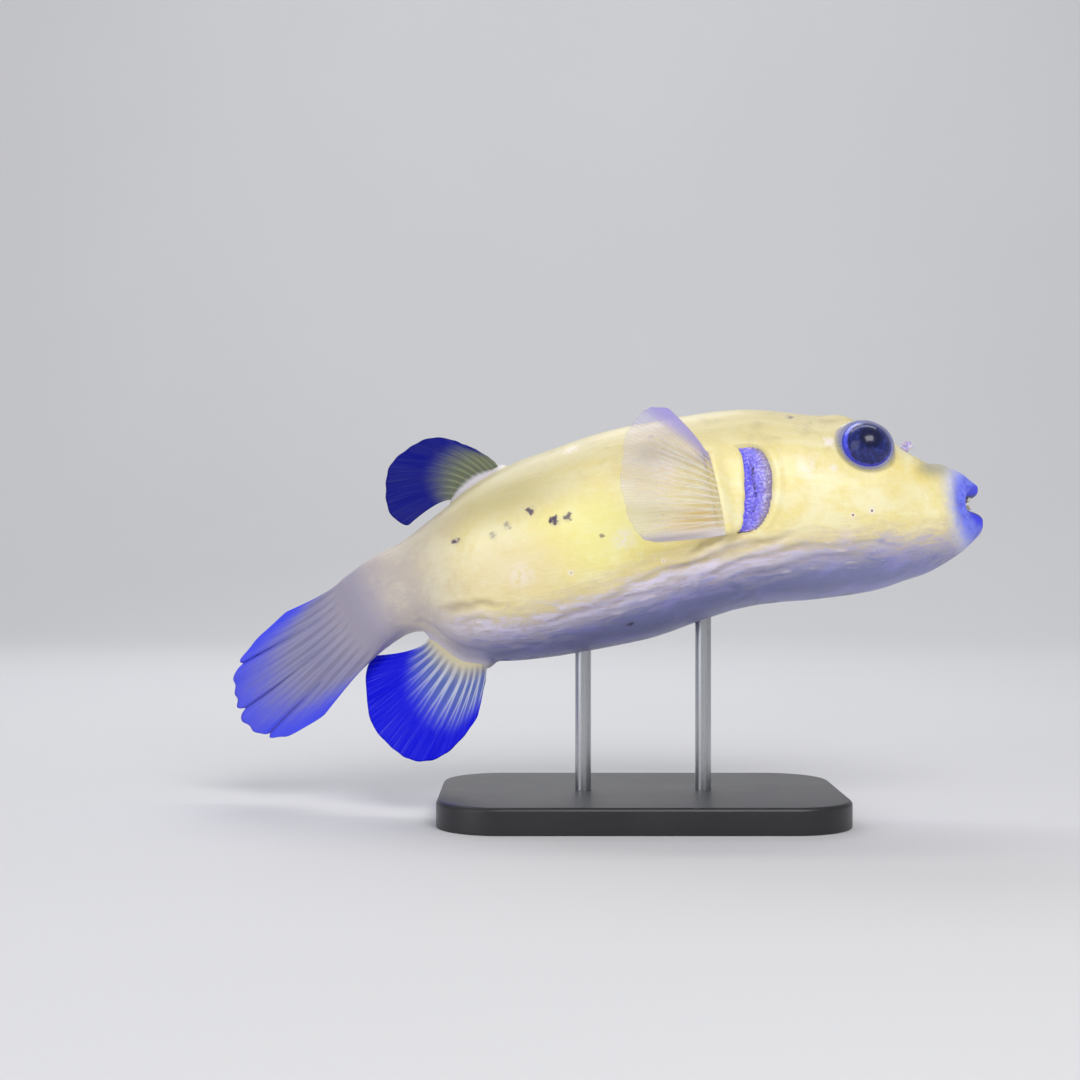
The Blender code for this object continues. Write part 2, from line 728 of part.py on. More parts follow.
def main():
    for piece in list(bpy.data.objects):
        bpy.data.objects.remove(piece)
    head()
    half = PARTING / MM / 2
    trunk = length_of_body("trunk", NECK + half, TRUNK_RINGS, WAIST - half)
    length_of_body("tail_stock", WAIST + half, TAIL_RINGS, TAIL_END)
    for name, side in (("right", -1), ("left", 1)):
        ball("eye_" + name, eye_centre(side), EYE_RADIUS * MM, "eye")
        gill("gill_" + name, side)
        nostril("nostril_" + name, side)
    teeth("teeth_upper", *UPPER_TEETH)
    teeth("teeth_lower", *LOWER_TEETH)
    midline_fin("fin_dorsal", DORSAL_ROOT, DORSAL, DORSAL_RAYS, DORSAL_ROOT_THICKNESS, 1)
    midline_fin("fin_anal", ANAL_ROOT, ANAL, ANAL_RAYS, ANAL_ROOT_THICKNESS, -1)
    tail_fin()
    pectoral_fin("fin_pectoral_right", -1, PECTORAL_RIGHT)
    pectoral_fin("fin_pectoral_left", 1, PECTORAL_LEFT)
    stand_base()
    for name, x in ROD_PLACES.items():
        stand_rod(name, x, trunk)


main()
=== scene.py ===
"""Looks of the golden puffer, a life-size still model over a plain display stand.

The fish is described straight, in millimetres: along is the distance behind the lips, side runs out to
the fish's left, and rise goes up from the spine. place() lays such points along the bent and banked
spine, in metres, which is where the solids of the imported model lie. One skin replaces the three lengths
of the body. Each part of it keeps its straight place in the attribute "fish", in millimetres, so that
every pattern follows the body round its bends.
"""
import math

import bmesh
import bpy
import numpy as np
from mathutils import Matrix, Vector, noise
from mathutils.bvhtree import BVHTree


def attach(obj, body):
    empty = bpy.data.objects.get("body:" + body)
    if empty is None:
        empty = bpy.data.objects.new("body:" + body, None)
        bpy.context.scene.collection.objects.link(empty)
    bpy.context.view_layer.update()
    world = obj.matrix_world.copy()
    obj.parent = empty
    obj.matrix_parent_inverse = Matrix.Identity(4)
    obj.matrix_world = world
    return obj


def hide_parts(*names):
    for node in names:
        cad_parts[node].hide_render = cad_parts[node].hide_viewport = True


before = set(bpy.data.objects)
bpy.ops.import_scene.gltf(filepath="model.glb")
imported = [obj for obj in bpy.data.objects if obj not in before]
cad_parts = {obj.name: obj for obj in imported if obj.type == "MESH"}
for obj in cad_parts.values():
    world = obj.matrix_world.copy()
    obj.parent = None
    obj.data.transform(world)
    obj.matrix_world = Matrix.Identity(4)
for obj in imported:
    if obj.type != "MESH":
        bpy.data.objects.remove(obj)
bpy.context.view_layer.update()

MM = 0.001

# The pose and the body, as the solids have them. A station has its distance behind the lips, back,
# belly and half width, and the spine's droop and turn in degrees
LIPS = np.array((0.111, 0.0, 0.100))
BANK = math.radians(10.0)
STATIONS = (
    (0.0, 9.0, 11.2, 8.0, 0.0, 0.0),
    (7.0, 10.7, 14.8, 11.0, 0.0, 0.0),
    (13.0, 13.6, 18.6, 14.0, 0.0, 0.0),
    (19.5, 15.0, 22.0, 17.0, 0.0, 0.0),
    (26.0, 18.2, 24.0, 19.8, 0.0, 0.0),
    (32.0, 23.0, 26.0, 22.0, 0.0, 0.0),
    (38.0, 26.2, 27.4, 23.8, 0.5, 0.0),
    (58.5, 30.4, 29.6, 27.5, 2.0, 0.0),
    (78.0, 33.0, 30.4, 30.0, 5.5, 0.0),
    (98.0, 33.2, 32.6, 32.0, 11.0, 0.5),
    (118.0, 33.4, 34.8, 32.5, 14.0, 1.5),
    (138.0, 31.3, 33.8, 30.5, 14.0, 3.0),
    (158.0, 27.5, 31.8, 25.5, 13.0, 6.0),
    (175.0, 20.3, 27.6, 18.5, 15.0, 10.0),
    (188.5, 15.9, 15.4, 12.0, 22.0, 13.0),
    (201.0, 16.0, 12.2, 8.0, 35.0, 16.0),
    (212.0, 17.0, 12.0, 5.5, 41.0, 18.0),
)
ROUNDNESS = 2.25
# Rings round the lips and on into the mouth: along, middle, half height, half width and rounding. The
# upper lip is a little fuller than the solids', and the opening lies lower
MUZZLE = (
    (7.4, -1.6, 13.4, 11.2, 1.3),
    (4.6, -1.2, 11.4, 10.4, 2.9),
    (2.4, -1.0, 9.4, 9.8, 4.4),
    (0.8, -0.6, 7.9, 9.0, 5.7),
    (0.0, 0.0, 6.4, 8.0, 7.0),
    (-0.1, 0.4, 4.9, 7.0, 7.8),
    (0.5, 0.3, 3.6, 6.2, 8.0),
    (1.7, 0.3, 2.8, 5.6, 7.5),
    (3.2, 0.3, 2.5, 5.3, 6.2),
    (6.0, 0.3, 2.9, 5.2, 3.6),
    (9.5, 0.3, 3.4, 5.0, 0.8),
    (13.0, 0.1, 2.0, 3.4, 0.0),
)
MUZZLE_START = 12.0
BODY_STYLE_ENDS = 22.0
UPPER_LIP_SET_BACK = 0.6
TAIL_END = 207.0

# How finely the skin is laid
SKIN_END = 211.0
SKIN_RINGS = 268
MUZZLE_RINGS = 64
TRUNK_RINGS = slice(60, 160)
SKIN_AROUND = 296

# Eyes: balls slightly smaller than the solids', each under a lid with a rounded edge
EYE_ALONG = 40.4
EYE_SIDE = 16.9
EYE_RISE = 15.6
EYE_RADIUS = 8.6
EYE_WAY = (0.08, 0.965, 0.25)
EYE_MOUND = 9.35
EYE_BLEND = 0.9
LID_OPENING = 7.95
LID_EDGE = 0.4
LID_ROUNDING = 1.0
LID_GATHER = 1.6
LID_REACH = 13.0

# Gill openings
GILL_MIDDLE = 2.4
GILL_HALF_HEIGHT = 14.0
GILL_FRONT = 79.4
GILL_FRONT_BULGE = 8.2
GILL_BACK = 84.0
GILL_BACK_BULGE = 3.5
GILL_BLUNTNESS = 0.45
GILL_LEAN = 3.0
GILL_DEPTH = 2.3
GILL_SLIT = 0.62

# Fins: where each root runs, and keys from its front or upper ray on. A key has a share of the root, an
# angle, a length and a lean, and for a pectoral fin a share, the ways back, up and out, and a length. The
# rear rays of the anal fin and the tail fin's tips run on a little past the solids'
DORSAL_ROOT = (151.0, 168.0)
DORSAL_RAYS = 11
DORSAL = (
    (0.0, 52.0, 16.5, 0.10),
    (0.2, 52.0, 25.1, 0.13),
    (0.4, 40.6, 31.9, 0.17),
    (0.6, 28.7, 33.9, 0.22),
    (0.8, 15.5, 31.4, 0.26),
    (0.92, 3.4, 28.0, 0.29),
    (1.0, -6.5, 22.5, 0.30),
)
ANAL_ROOT = (169.0, 186.5)
ANAL_RAYS = 12
ANAL = (
    (0.0, 65.7, 20.4, 0.04),
    (0.15, 59.0, 30.5, 0.04),
    (0.3, 52.8, 37.4, 0.05),
    (0.45, 44.4, 39.1, 0.08),
    (0.6, 34.3, 39.6, 0.13),
    (0.75, 22.6, 37.6, 0.20),
    (0.88, 11.0, 34.0, 0.29),
    (1.0, 1.0, 28.0, 0.37),
)
CAUDAL_RAYS = 11
TAIL_ROOT_HEIGHT = 0.96
CAUDAL = (
    (0.0, 13.1, 28.5, 0.05),
    (0.1, 13.6, 44.0, 0.07),
    (0.25, 11.0, 55.6, 0.10),
    (0.5, 7.0, 63.4, 0.14),
    (0.75, 1.1, 62.2, 0.16),
    (0.9, -3.8, 54.4, 0.16),
    (1.0, -4.4, 39.5, 0.16),
)
PECTORAL_ALONG = (89.2, 88.0)
PECTORAL_RISE = (13.6, -11.2)
PECTORAL_RAYS = 15
PECTORAL_RIGHT = (
    (0.0, 0.50, 0.69, 0.52, 23.0),
    (0.12, 0.60, 0.57, 0.56, 30.0),
    (0.3, 0.71, 0.36, 0.60, 35.6),
    (0.5, 0.79, 0.15, 0.60, 36.8),
    (0.75, 0.88, 0.01, 0.48, 32.9),
    (0.9, 0.93, -0.03, 0.36, 28.4),
    (1.0, 0.96, -0.06, 0.28, 23.2),
)
PECTORAL_LEFT = (
    (0.0, 0.64, 0.48, 0.60, 23.0),
    (0.12, 0.70, 0.36, 0.61, 30.0),
    (0.3, 0.77, 0.18, 0.61, 35.0),
    (0.5, 0.83, 0.00, 0.56, 36.5),
    (0.75, 0.89, -0.12, 0.43, 33.0),
    (0.9, 0.92, -0.20, 0.33, 28.5),
    (1.0, 0.93, -0.25, 0.27, 23.5),
)

# Nostrils: soft lobes as (lean back, lean across, length, width, thickness, where it starts)
NOSTRIL_ALONG = 26.4
NOSTRIL_SIDE = 8.4
NOSTRIL_HEIGHT = 3.5
NOSTRIL_LOBES = ((0.0, 0.0, 0.55, 1.6, 1.2, 0.0), (-0.85, 0.10, 1.05, 0.66, 0.5, 0.25),
                 (-0.25, -0.25, 1.12, 0.7, 0.5, 0.25), (0.35, 0.15, 0.95, 0.66, 0.48, 0.25),
                 (0.9, -0.1, 0.72, 0.56, 0.42, 0.25))

# Stand
BASE_LENGTH = 0.130
BASE_WIDTH = 0.084
BASE_HEIGHT = 0.0085
BASE_CORNER = 0.020
BASE_FILLET = 0.0014
BASE_FOOT = 0.0004
SHARP_EDGE = math.radians(35)
ROD_RADIUS = 0.0026
ROD_PLACES = {"stand_rod_front": 0.0205, "stand_rod_rear": -0.0185}

# Where the golden colour gives way to the lilac of the belly: distance behind the lips, and rise
GOLD_EDGE = ((0.0, -9.0), (14.0, -11.5), (32.0, -13.5), (60.0, -15.5), (100.0, -18.5), (130.0, -21.0),
             (152.0, -22.0), (172.0, -17.0), (190.0, -9.0), (212.0, -6.0))

# Long folds of the lower flank: from (along, rise) to (along, rise), depth and width
FOLDS = (
    (64.0, -13.2, 112.0, -21.5, 0.70, 0.80),
    (76.0, -11.8, 104.0, -16.2, 0.75, 1.00),
    (56.0, -16.5, 98.0, -23.0, 0.55, 0.80),
    (86.0, -17.6, 132.0, -24.0, 0.40, 0.70),
    (28.0, -16.4, 62.0, -18.6, 0.30, 0.90),
    (44.0, -19.6, 88.0, -25.6, 0.40, 0.90),
    (108.0, -24.5, 150.0, -27.0, 0.35, 0.80),
    (156.0, -18.0, 180.0, -14.0, 0.60, 1.10),
    (160.0, -21.5, 178.0, -19.0, 0.40, 0.90),
)
FOLD_SAG = 1.4

# How a fin's surface runs: columns to each ray, rows from root to tip, how far a ray splits, the margin's
# thickness, the shares of the length between which the root thins, how deep the margin dips between two
# rays, where the fin bends away from the skin, the pleats, the folds as (ray, depth, width, share where it
# starts), the ridges' height and their widths at root and tip, the wave across the fin, whether the root
# thins with a soft foot and how fast, and the rounding of the margin's ends: over how many rays, and by
# what share of the length
FIN = {"per_ray": 12, "rows": 64, "split": 0.25, "edge": 0.26, "thin": (0.0, 0.55), "notch": 0.006,
       "knee": 0.28, "pleat": 0.06, "folds": (), "ridge": 0.3, "ray_width": (0.11, 0.05), "wave": 0.7,
       "foot": True, "thinning": 1.5, "corner": (1.2, 0.13)}
# Rows of a fin that run on inside the body: how far ahead of its root, in millimetres
INNER_ROWS = (-4.8, -3.9, -3.3, -2.8, -2.3, -1.6, -0.8)


def smooth(value, start, end):
    """0 before start, 1 past end, and a soft step between them."""
    share = np.clip((value - start) / (end - start), 0.0, 1.0)
    return share * share * (3 - 2 * share)


def bell(value, middle, width):
    return np.exp(-((value - middle) / width) ** 2)


def unit(vectors):
    return vectors / np.linalg.norm(vectors, axis=-1, keepdims=True)


def clouds(points, scale, seed=0.0):
    """Soft noise from -1 to 1 at each point, with lumps about 1 / scale wide."""
    flat = (np.asarray(points).reshape(-1, 3) * scale + seed).tolist()
    return np.array([noise.noise(point) for point in flat]).reshape(np.shape(points)[:-1])


def slopes(knots, values):
    """Slopes of a smooth curve that never swings past its own points."""
    steps = np.diff(knots)
    rises = np.diff(values) / steps
    result = np.empty(len(knots))
    result[0] = rises[0]
    result[-1] = rises[-1]
    for i in range(1, len(knots) - 1):
        before, after = rises[i - 1], rises[i]
        if before * after <= 0:
            result[i] = 0.0
        else:
            w1 = 2 * steps[i] + steps[i - 1]
            w2 = steps[i] + 2 * steps[i - 1]
            result[i] = (w1 + w2) / (w1 / before + w2 / after)
    return result


class Curve:
    """A smooth curve through the columns of a table whose first column is the knot. A free one may swing
    past its points, and has rounder bends."""

    def __init__(self, table, free=False):
        data = np.array(table, dtype=float)
        self.knots = data[:, 0]
        self.values = data[:, 1:]
        if free:
            self.slopes = np.gradient(self.values, self.knots, axis=0)
        else:
            self.slopes = np.array([slopes(self.knots, column) for column in self.values.T]).T

    def at(self, knots):
        knots = np.clip(np.asarray(knots, dtype=float), self.knots[0], self.knots[-1])
        i = np.clip(np.searchsorted(self.knots, knots, side="right") - 1, 0, len(self.knots) - 2)
        width = (self.knots[i + 1] - self.knots[i])[..., None]
        t = (knots - self.knots[i])[..., None] / width
        a, b = self.values[i], self.values[i + 1]
        m, n = self.slopes[i] * width, self.slopes[i + 1] * width
        return (a * (1 + 2 * t) * (1 - t) ** 2 + m * t * (1 - t) ** 2
                + b * t * t * (3 - 2 * t) + n * t * t * (t - 1))


BODY = Curve(STATIONS)
GOLD_LINE = Curve(GOLD_EDGE)


def directions(along):
    """The spine's way to the tail, the fish's left and its up, at distances behind the lips."""
    droop, turn = np.radians(np.moveaxis(BODY.at(along)[..., 3:5], -1, 0))
    tail = np.stack([-np.cos(droop) * np.cos(turn), np.cos(droop) * np.sin(turn), -np.sin(droop)], -1)
    level = np.stack([np.sin(turn), np.cos(turn), np.zeros_like(turn)], -1)
    upright = np.cross(level, tail)
    left = level * math.cos(BANK) - upright * math.sin(BANK)
    up = upright * math.cos(BANK) + level * math.sin(BANK)
    return tail, left, up


SPINE_STEP = 0.5
SPINE_KNOTS = np.arange(0.0, STATIONS[-1][0] + 6.0, SPINE_STEP)
SPINE = LIPS + np.vstack([np.zeros(3), np.cumsum(
    directions(SPINE_KNOTS[:-1] + SPINE_STEP / 2)[0] * SPINE_STEP * MM, axis=0)])


def place(points):
    """Points of the straight fish, in millimetres, laid along the bent spine, in metres."""
    points = np.asarray(points, dtype=float)
    along, side, rise = np.moveaxis(points, -1, 0)
    tail, left, up = directions(along)
    behind = np.clip(along, 0.0, SPINE_KNOTS[-1])
    middle = np.stack([np.interp(behind, SPINE_KNOTS, column) for column in SPINE.T], -1)
    middle = middle + tail * ((along - behind) * MM)[..., None]
    return middle + left * (side * MM)[..., None] + up * (rise * MM)[..., None]


def power(value):
    return np.copysign(np.abs(value) ** (2 / ROUNDNESS), value)


def section(along, angle):
    """Side and rise of the plain skin at an angle round the spine, from the fish's left upwards."""
    back, belly, wide = np.moveaxis(BODY.at(along)[..., :3], -1, 0)
    high = np.where(np.sin(angle) > 0, back, belly)
    return power(np.cos(angle)) * wide, power(np.sin(angle)) * high


def rounded(share):
    """How much of the half width is left at a share of the height."""
    return (1 - share ** ROUNDNESS) ** (1 / ROUNDNESS)


def flank(along, rise, side):
    """The plain skin's straight point at a height over the spine, on the right (-1) or left (1)."""
    along, rise = np.broadcast_arrays(np.asarray(along, float), np.asarray(rise, float))
    back, belly, wide = np.moveaxis(BODY.at(along)[..., :3], -1, 0)
    share = np.clip(np.abs(rise) / np.where(rise > 0, back, belly), 0.0, 1.0)
    return np.stack([along, side * wide * rounded(share), rise], -1)


def flank_out(along, rise, side):
    """The skin's outward direction there, in the world."""
    reach = 0.8
    back = place(flank(along + reach, rise, side)) - place(flank(along - reach, rise, side))
    up = place(flank(along, rise + reach, side)) - place(flank(along, rise - reach, side))
    out = unit(np.cross(back, up))
    return out * np.sign(np.sum(out * directions(along)[1], axis=-1) * side)[..., None]


def eye_middle(side):
    return np.array((EYE_ALONG, side * EYE_SIDE, EYE_RISE))


def eye_out(side):
    """The way an eye looks, in the straight fish."""
    front, sideways, high = EYE_WAY
    return unit(np.array((-front, side * sideways, high)))


def wrap_eye(points):
    """The skin, moved out to the mound round each eyeball where it would lie within it."""
    centre = np.where(points[..., 1:2] < 0, eye_middle(-1), eye_middle(1))
    way = points - centre
    apart = np.linalg.norm(way, axis=-1, keepdims=True)
    reach = apart + EYE_BLEND * np.log1p(np.exp((EYE_MOUND - apart) / EYE_BLEND))
    return centre + way * (reach / apart)


def muzzle_rings(table, angle):
    """Straight points of rings given as (along, middle, half height, half width, corner) rows."""
    back, middle, half_height, half_width, corner = (column[:, None] for column in table.T)
    along = back + corner * np.cos(angle) ** 2
    along = along + UPPER_LIP_SET_BACK * (1 + np.sin(angle)) * np.minimum(1.0, corner)
    side = power(np.cos(angle)) * half_width
    rise = middle + power(np.sin(angle)) * half_height
    return np.stack(np.broadcast_arrays(along, side, rise), -1)


def muzzle_table(along):
    """Rows like the muzzle's for plain rings of the body."""
    along = np.asarray(along, float)
    back, belly, wide = np.moveaxis(BODY.at(along)[..., :3], -1, 0)
    return np.stack([along, (back - belly) / 2, (back + belly) / 2, wide, np.zeros_like(along)], -1)


def skin_grid():
    """Straight points of the whole skin, ring by ring from the tail's root into the mouth."""
    angle = np.linspace(0.0, math.tau, SKIN_AROUND, endpoint=False)[None, :]
    along = np.linspace(SKIN_END, MUZZLE_START, SKIN_RINGS)[:, None]
    side, rise = section(along, angle)
    taper = 1 - 0.65 * smooth(along, TAIL_END - 2.8, SKIN_END)
    body = np.stack([np.broadcast_to(along, side.shape), side * taper, rise * (0.3 + 0.7 * taper)], -1)
    plain = muzzle_rings(muzzle_table(along[:, 0]), angle)
    share = smooth(-along, -BODY_STYLE_ENDS, -MUZZLE_START)[..., None]
    body = body * (1 - share) + plain * share
    rows = np.vstack([muzzle_table([MUZZLE_START]), np.array(MUZZLE)])
    steps = np.linalg.norm(np.diff(rows[:, [0, 2]], axis=0), axis=1)
    knots = np.concatenate([[0.0], np.cumsum(steps)])
    curve = Curve(np.column_stack([knots, rows]))
    muzzle = muzzle_rings(curve.at(np.linspace(0.0, knots[-1], MUZZLE_RINGS + 1)[1:]), angle)
    return np.concatenate([body, muzzle])


def mouth_distance(points):
    """How far each point lies behind the foremost ring of the lips, over the skin. Below 0 is inside."""
    steps = np.linalg.norm(np.diff(points, axis=0), axis=-1)
    run = np.concatenate([np.zeros((1, points.shape[1])), np.cumsum(steps, axis=0)])
    crest = np.argmin(points[..., 0].mean(axis=1))
    return run[crest][None, :] - run


def grid_out(points):
    """The outward direction at each point of a skin grid."""
    down = np.gradient(points, axis=0)
    over = np.roll(points, -1, axis=1) - np.roll(points, 1, axis=1)
    out = np.cross(over, -down)
    return out / np.maximum(np.linalg.norm(out, axis=-1, keepdims=True), 1e-9)


def gill_edges(height):
    """How far behind the lips the gill opening's front and back edges lie, at a height from -1 to 1."""
    bulge = np.clip(1 - height * height, 0.0, None) ** GILL_BLUNTNESS
    lean = GILL_LEAN * (0.5 + 0.5 * height) ** 2
    return GILL_FRONT - GILL_FRONT_BULGE * bulge - lean, GILL_BACK - GILL_BACK_BULGE * bulge - lean


def gill_place(along, rise):
    """Height from -1 to 1 and the distances inside the front and back edges of the gill opening."""
    height = (rise - GILL_MIDDLE) / GILL_HALF_HEIGHT
    front, back = gill_edges(height)
    return height, along - front, back - along


def gather(distance, width):
    """Draws a grid's lines together round a line, so that a sharp edge on it stays clean."""
    near = np.clip(np.abs(distance) / width, 0.0, 1.0)
    return np.sign(distance) * np.where(near < 1, width * near ** 2 * (2 - near), np.abs(distance))


def between(value, start, end, soft):
    """1 from start to end, with soft ends outside them."""
    return smooth(value, start - soft, start) * smooth(-value, -end - soft, -end)


def relief(points):
    """How far the skin stands over the plain body at each straight point, in millimetres, and its creases:
    how deep in a fold it lies, how high on the crest beside one, and how near it is to a fin's root."""
    along, side, rise = np.moveaxis(points, -1, 0)
    top, bottom = rise > 0, rise < 0
    height = np.zeros_like(along)
    # fleshy feet of the fins, and the ridge between the gill and the pectoral fin
    leaning = PECTORAL_ALONG[1] + (PECTORAL_ALONG[0] - PECTORAL_ALONG[1]) * (
        (rise - PECTORAL_RISE[1]) / (PECTORAL_RISE[0] - PECTORAL_RISE[1]))
    pectoral = between(rise, PECTORAL_RISE[1], PECTORAL_RISE[0], 4.5) * (np.abs(side) > 4)
    height += 1.9 * bell(along, leaning - 1.2, 2.6) * pectoral
    height -= 0.9 * bell(along, leaning + 4.0, 2.6) * pectoral
    dorsal = between(along, DORSAL_ROOT[0], DORSAL_ROOT[1], 4.0) * top
    height += 2.6 * bell(side, 0.0, 3.0) * dorsal
    height += 1.2 * bell(along, 144.0, 9.0) * bell(side, 0.0, 11.0) * top
    anal = between(along, ANAL_ROOT[0], ANAL_ROOT[1], 4.0) * bottom
    height += (2.8 * bell(side, 0.0, 3.4) - 1.0 * bell(np.abs(side), 7.5, 2.2)) * anal
    foot = np.maximum(dorsal * bell(side, 0.0, 4.2), anal * bell(side, 0.0, 4.4))
    # vent, ahead of the anal fin
    height -= 1.4 * bell(along, 163.0, 1.6) * bell(side, 0.0, 1.4) * bottom
    # gill: a raised rim ahead of it and the recess itself
    level, inside_front, inside_back = gill_place(along, rise)
    bulge = np.sqrt(np.clip(1 - level * level, 0.0, None))
    height += 0.55 * bell(inside_front, -1.2, 1.4) * bulge
    depth = np.minimum(inside_front, inside_back)
    height -= GILL_DEPTH * smooth(depth, 0.0, 0.9) * (np.abs(level) < 1)
    # folds and wrinkles of the lower flank
    wobble = clouds(points, 0.09, 3.1) * 1.6 + clouds(points, 0.3, 8.2) * 0.5
    groove_shade, crest = np.zeros_like(along), np.zeros_like(along)
    for start, low, end, lower, deep, wide in FOLDS:
        share = np.clip((along - start) / (end - start), 0.0, 1.0)
        line = low + (lower - low) * share + FOLD_SAG * np.sin(share * math.pi) + wobble
        fade = between(along, start + 8, end - 9, 11.0)
        height -= 0.8 * deep * fade * bell(rise - line, 0.0, wide)
        height += 0.4 * deep * fade * bell(rise - line, 1.9, 1.2)
        groove_shade = np.maximum(groove_shade, deep * fade * bell(rise - line, -0.2, wide * 1.3))
        crest = np.maximum(crest, deep * fade * bell(rise - line, -2.6, 1.5))
    under = GOLD_LINE.at(along)[..., 0] - rise
    stretched = points * (0.16, 0.62, 0.62)
    creased = clouds(stretched, 1.0, 5.5) + 0.6 * np.abs(clouds(stretched, 2.1, 1.7))
    zone = smooth(under, -6.0, 1.0) * smooth(-under, -13.0, -5.0) * smooth(along, 18.0, 40.0)
    zone = zone * smooth(-along, -190.0, -165.0)
    height += 0.17 * creased * zone
    groove_shade = np.maximum(groove_shade, 0.42 * smooth(-creased, 0.05, 0.5) * zone)
    crest = np.maximum(crest, 0.8 * smooth(creased, 0.35, 0.9) * zone)
    # jaw muscle, hollow behind the lips, soft unevenness all over
    height += 0.9 * bell(along, 17.0, 6.5) * bell(rise, -6.0, 6.0)
    height -= 0.6 * bell(along, 9.5, 2.6) * bell(rise, -1.0, 5.0)
    height += 0.28 * clouds(points, 0.055, 2.0) + 0.10 * clouds(points, 0.16, 4.0)
    # brow over and behind the eye, and the dip ahead of the nostrils
    height += 1.5 * bell(along, 46.0, 5.5) * bell(np.abs(side), 10.0, 5.0) * top
    height -= 0.8 * bell(along, 18.5, 2.6) * bell(side, 0.0, 9.0) * top
    height = height * smooth(along, 2.0, 9.0) * smooth(-along, -TAIL_END + 2.0, -TAIL_END + 10.0)
    return height, np.stack([groove_shade, crest, foot], -1)


def open_lids(points):
    """Opens the skin round each eye: a rounded edge, inside which the skin dips under the eyeball. Gives
    how far each point lies from that edge."""
    distance = np.full(points.shape[:-1], LID_REACH)
    edge = math.asin(LID_OPENING / EYE_RADIUS)
    low = EYE_RADIUS + LID_EDGE
    for side in (-1, 1):
        centre, out = eye_middle(side), eye_out(side)
        near = (points[..., 1] * side > 1.0) & (np.linalg.norm(points - centre, axis=-1) < LID_REACH + 9.0)
        way = points[near] - centre
        apart = np.linalg.norm(way, axis=-1)
        way = way / apart[:, None]
        tilt = np.arccos(np.clip(way @ out, -1.0, 1.0))
        gap = (tilt - edge) * EYE_RADIUS
        close = 1 - smooth(apart, low + 1.2, low + 3.0)
        gap = gap + (gather(gap, LID_GATHER) - gap) * close
        sideways = unit(way - np.outer(way @ out, out) + 1e-9)
        new = edge + gap / EYE_RADIUS
        way = np.outer(np.cos(new), out) + sideways * np.sin(new)[:, None]
        lid = low + (apart - low) * smooth(gap, -0.3, LID_ROUNDING)
        hidden = EYE_RADIUS - 0.9 * smooth(-gap, 0.0, 0.35)
        reach = np.where(gap > 0, lid, np.minimum(hidden, apart))
        points[near] = centre + way * reach[:, None]
        distance[near] = np.copysign(np.hypot(gap, np.clip(reach - low - 0.6, 0.0, None)), gap)
    return np.minimum(distance, LID_REACH)


def mesh_object(name, points, faces, attributes):
    """A smooth piece from points in metres, with vector attributes on its points."""
    mesh = bpy.data.meshes.new(name)
    mesh.from_pydata(np.asarray(points).reshape(-1, 3).tolist(), [], faces)
    for title, values in attributes.items():
        layer = mesh.attributes.new(title, "FLOAT_VECTOR", "POINT")
        layer.data.foreach_set("vector", np.asarray(values, dtype=np.float32).ravel())
    mesh.shade_smooth()
    piece = bpy.data.objects.new(name, mesh)
    bpy.context.scene.collection.objects.link(piece)
    return piece


def face_outwards(piece):
    shell = bmesh.new()
    shell.from_mesh(piece.data)
    bmesh.ops.recalc_face_normals(shell, faces=shell.faces)
    shell.to_mesh(piece.data)
    shell.free()


def ring_faces(rows, columns):
    """Faces of a tube of rings, closed with a cap at each end."""
    i, j = np.meshgrid(np.arange(rows - 1), np.arange(columns), indexing="ij")
    a, b = i * columns + j, i * columns + (j + 1) % columns
    faces = np.stack([a, b, b + columns, a + columns], -1).reshape(-1, 4).tolist()
    faces.append(list(range(columns)))
    faces.append(list(range(rows * columns - columns, rows * columns)))
    return faces


def plate_faces(rows, columns):
    """Faces of a closed plate from two like grids."""
    count = rows * columns
    i, j = np.meshgrid(np.arange(rows - 1), np.arange(columns - 1), indexing="ij")
    a = i * columns + j
    top = np.stack([a, a + 1, a + columns + 1, a + columns], -1).reshape(-1, 4)
    faces = top.tolist() + (top[:, ::-1] + count).tolist()
    rim = list(range(columns))
    rim += [k * columns + columns - 1 for k in range(1, rows)]
    rim += [(rows - 1) * columns + k for k in range(columns - 2, -1, -1)]
    rim += [k * columns for k in range(rows - 2, 0, -1)]
    faces += [(a, b, count + b, count + a) for a, b in zip(rim, rim[1:] + rim[:1])]
    return faces


def make_skin():
    """The one skin of head, trunk and tail stock."""
    points = wrap_eye(skin_grid())
    mouth = mouth_distance(points)
    out = grid_out(points)
    radial = points * (0.0, 1.0, 1.0)
    if np.sum(out[TRUNK_RINGS] * radial[TRUNK_RINGS]) < 0:
        out = -out
    height, creases = relief(points)
    points = points + out * height[..., None]
    lids = open_lids(points)
    fish = points.copy()
    under = GOLD_LINE.at(fish[..., 0])[..., 0] - fish[..., 2]
    zones = np.stack([under, mouth, lids], -1)
    rows, columns = points.shape[:2]
    piece = mesh_object("skin", place(points), ring_faces(rows, columns),
                        {"fish": fish, "zones": zones, "creases": creases})
    face_outwards(piece)
    return piece


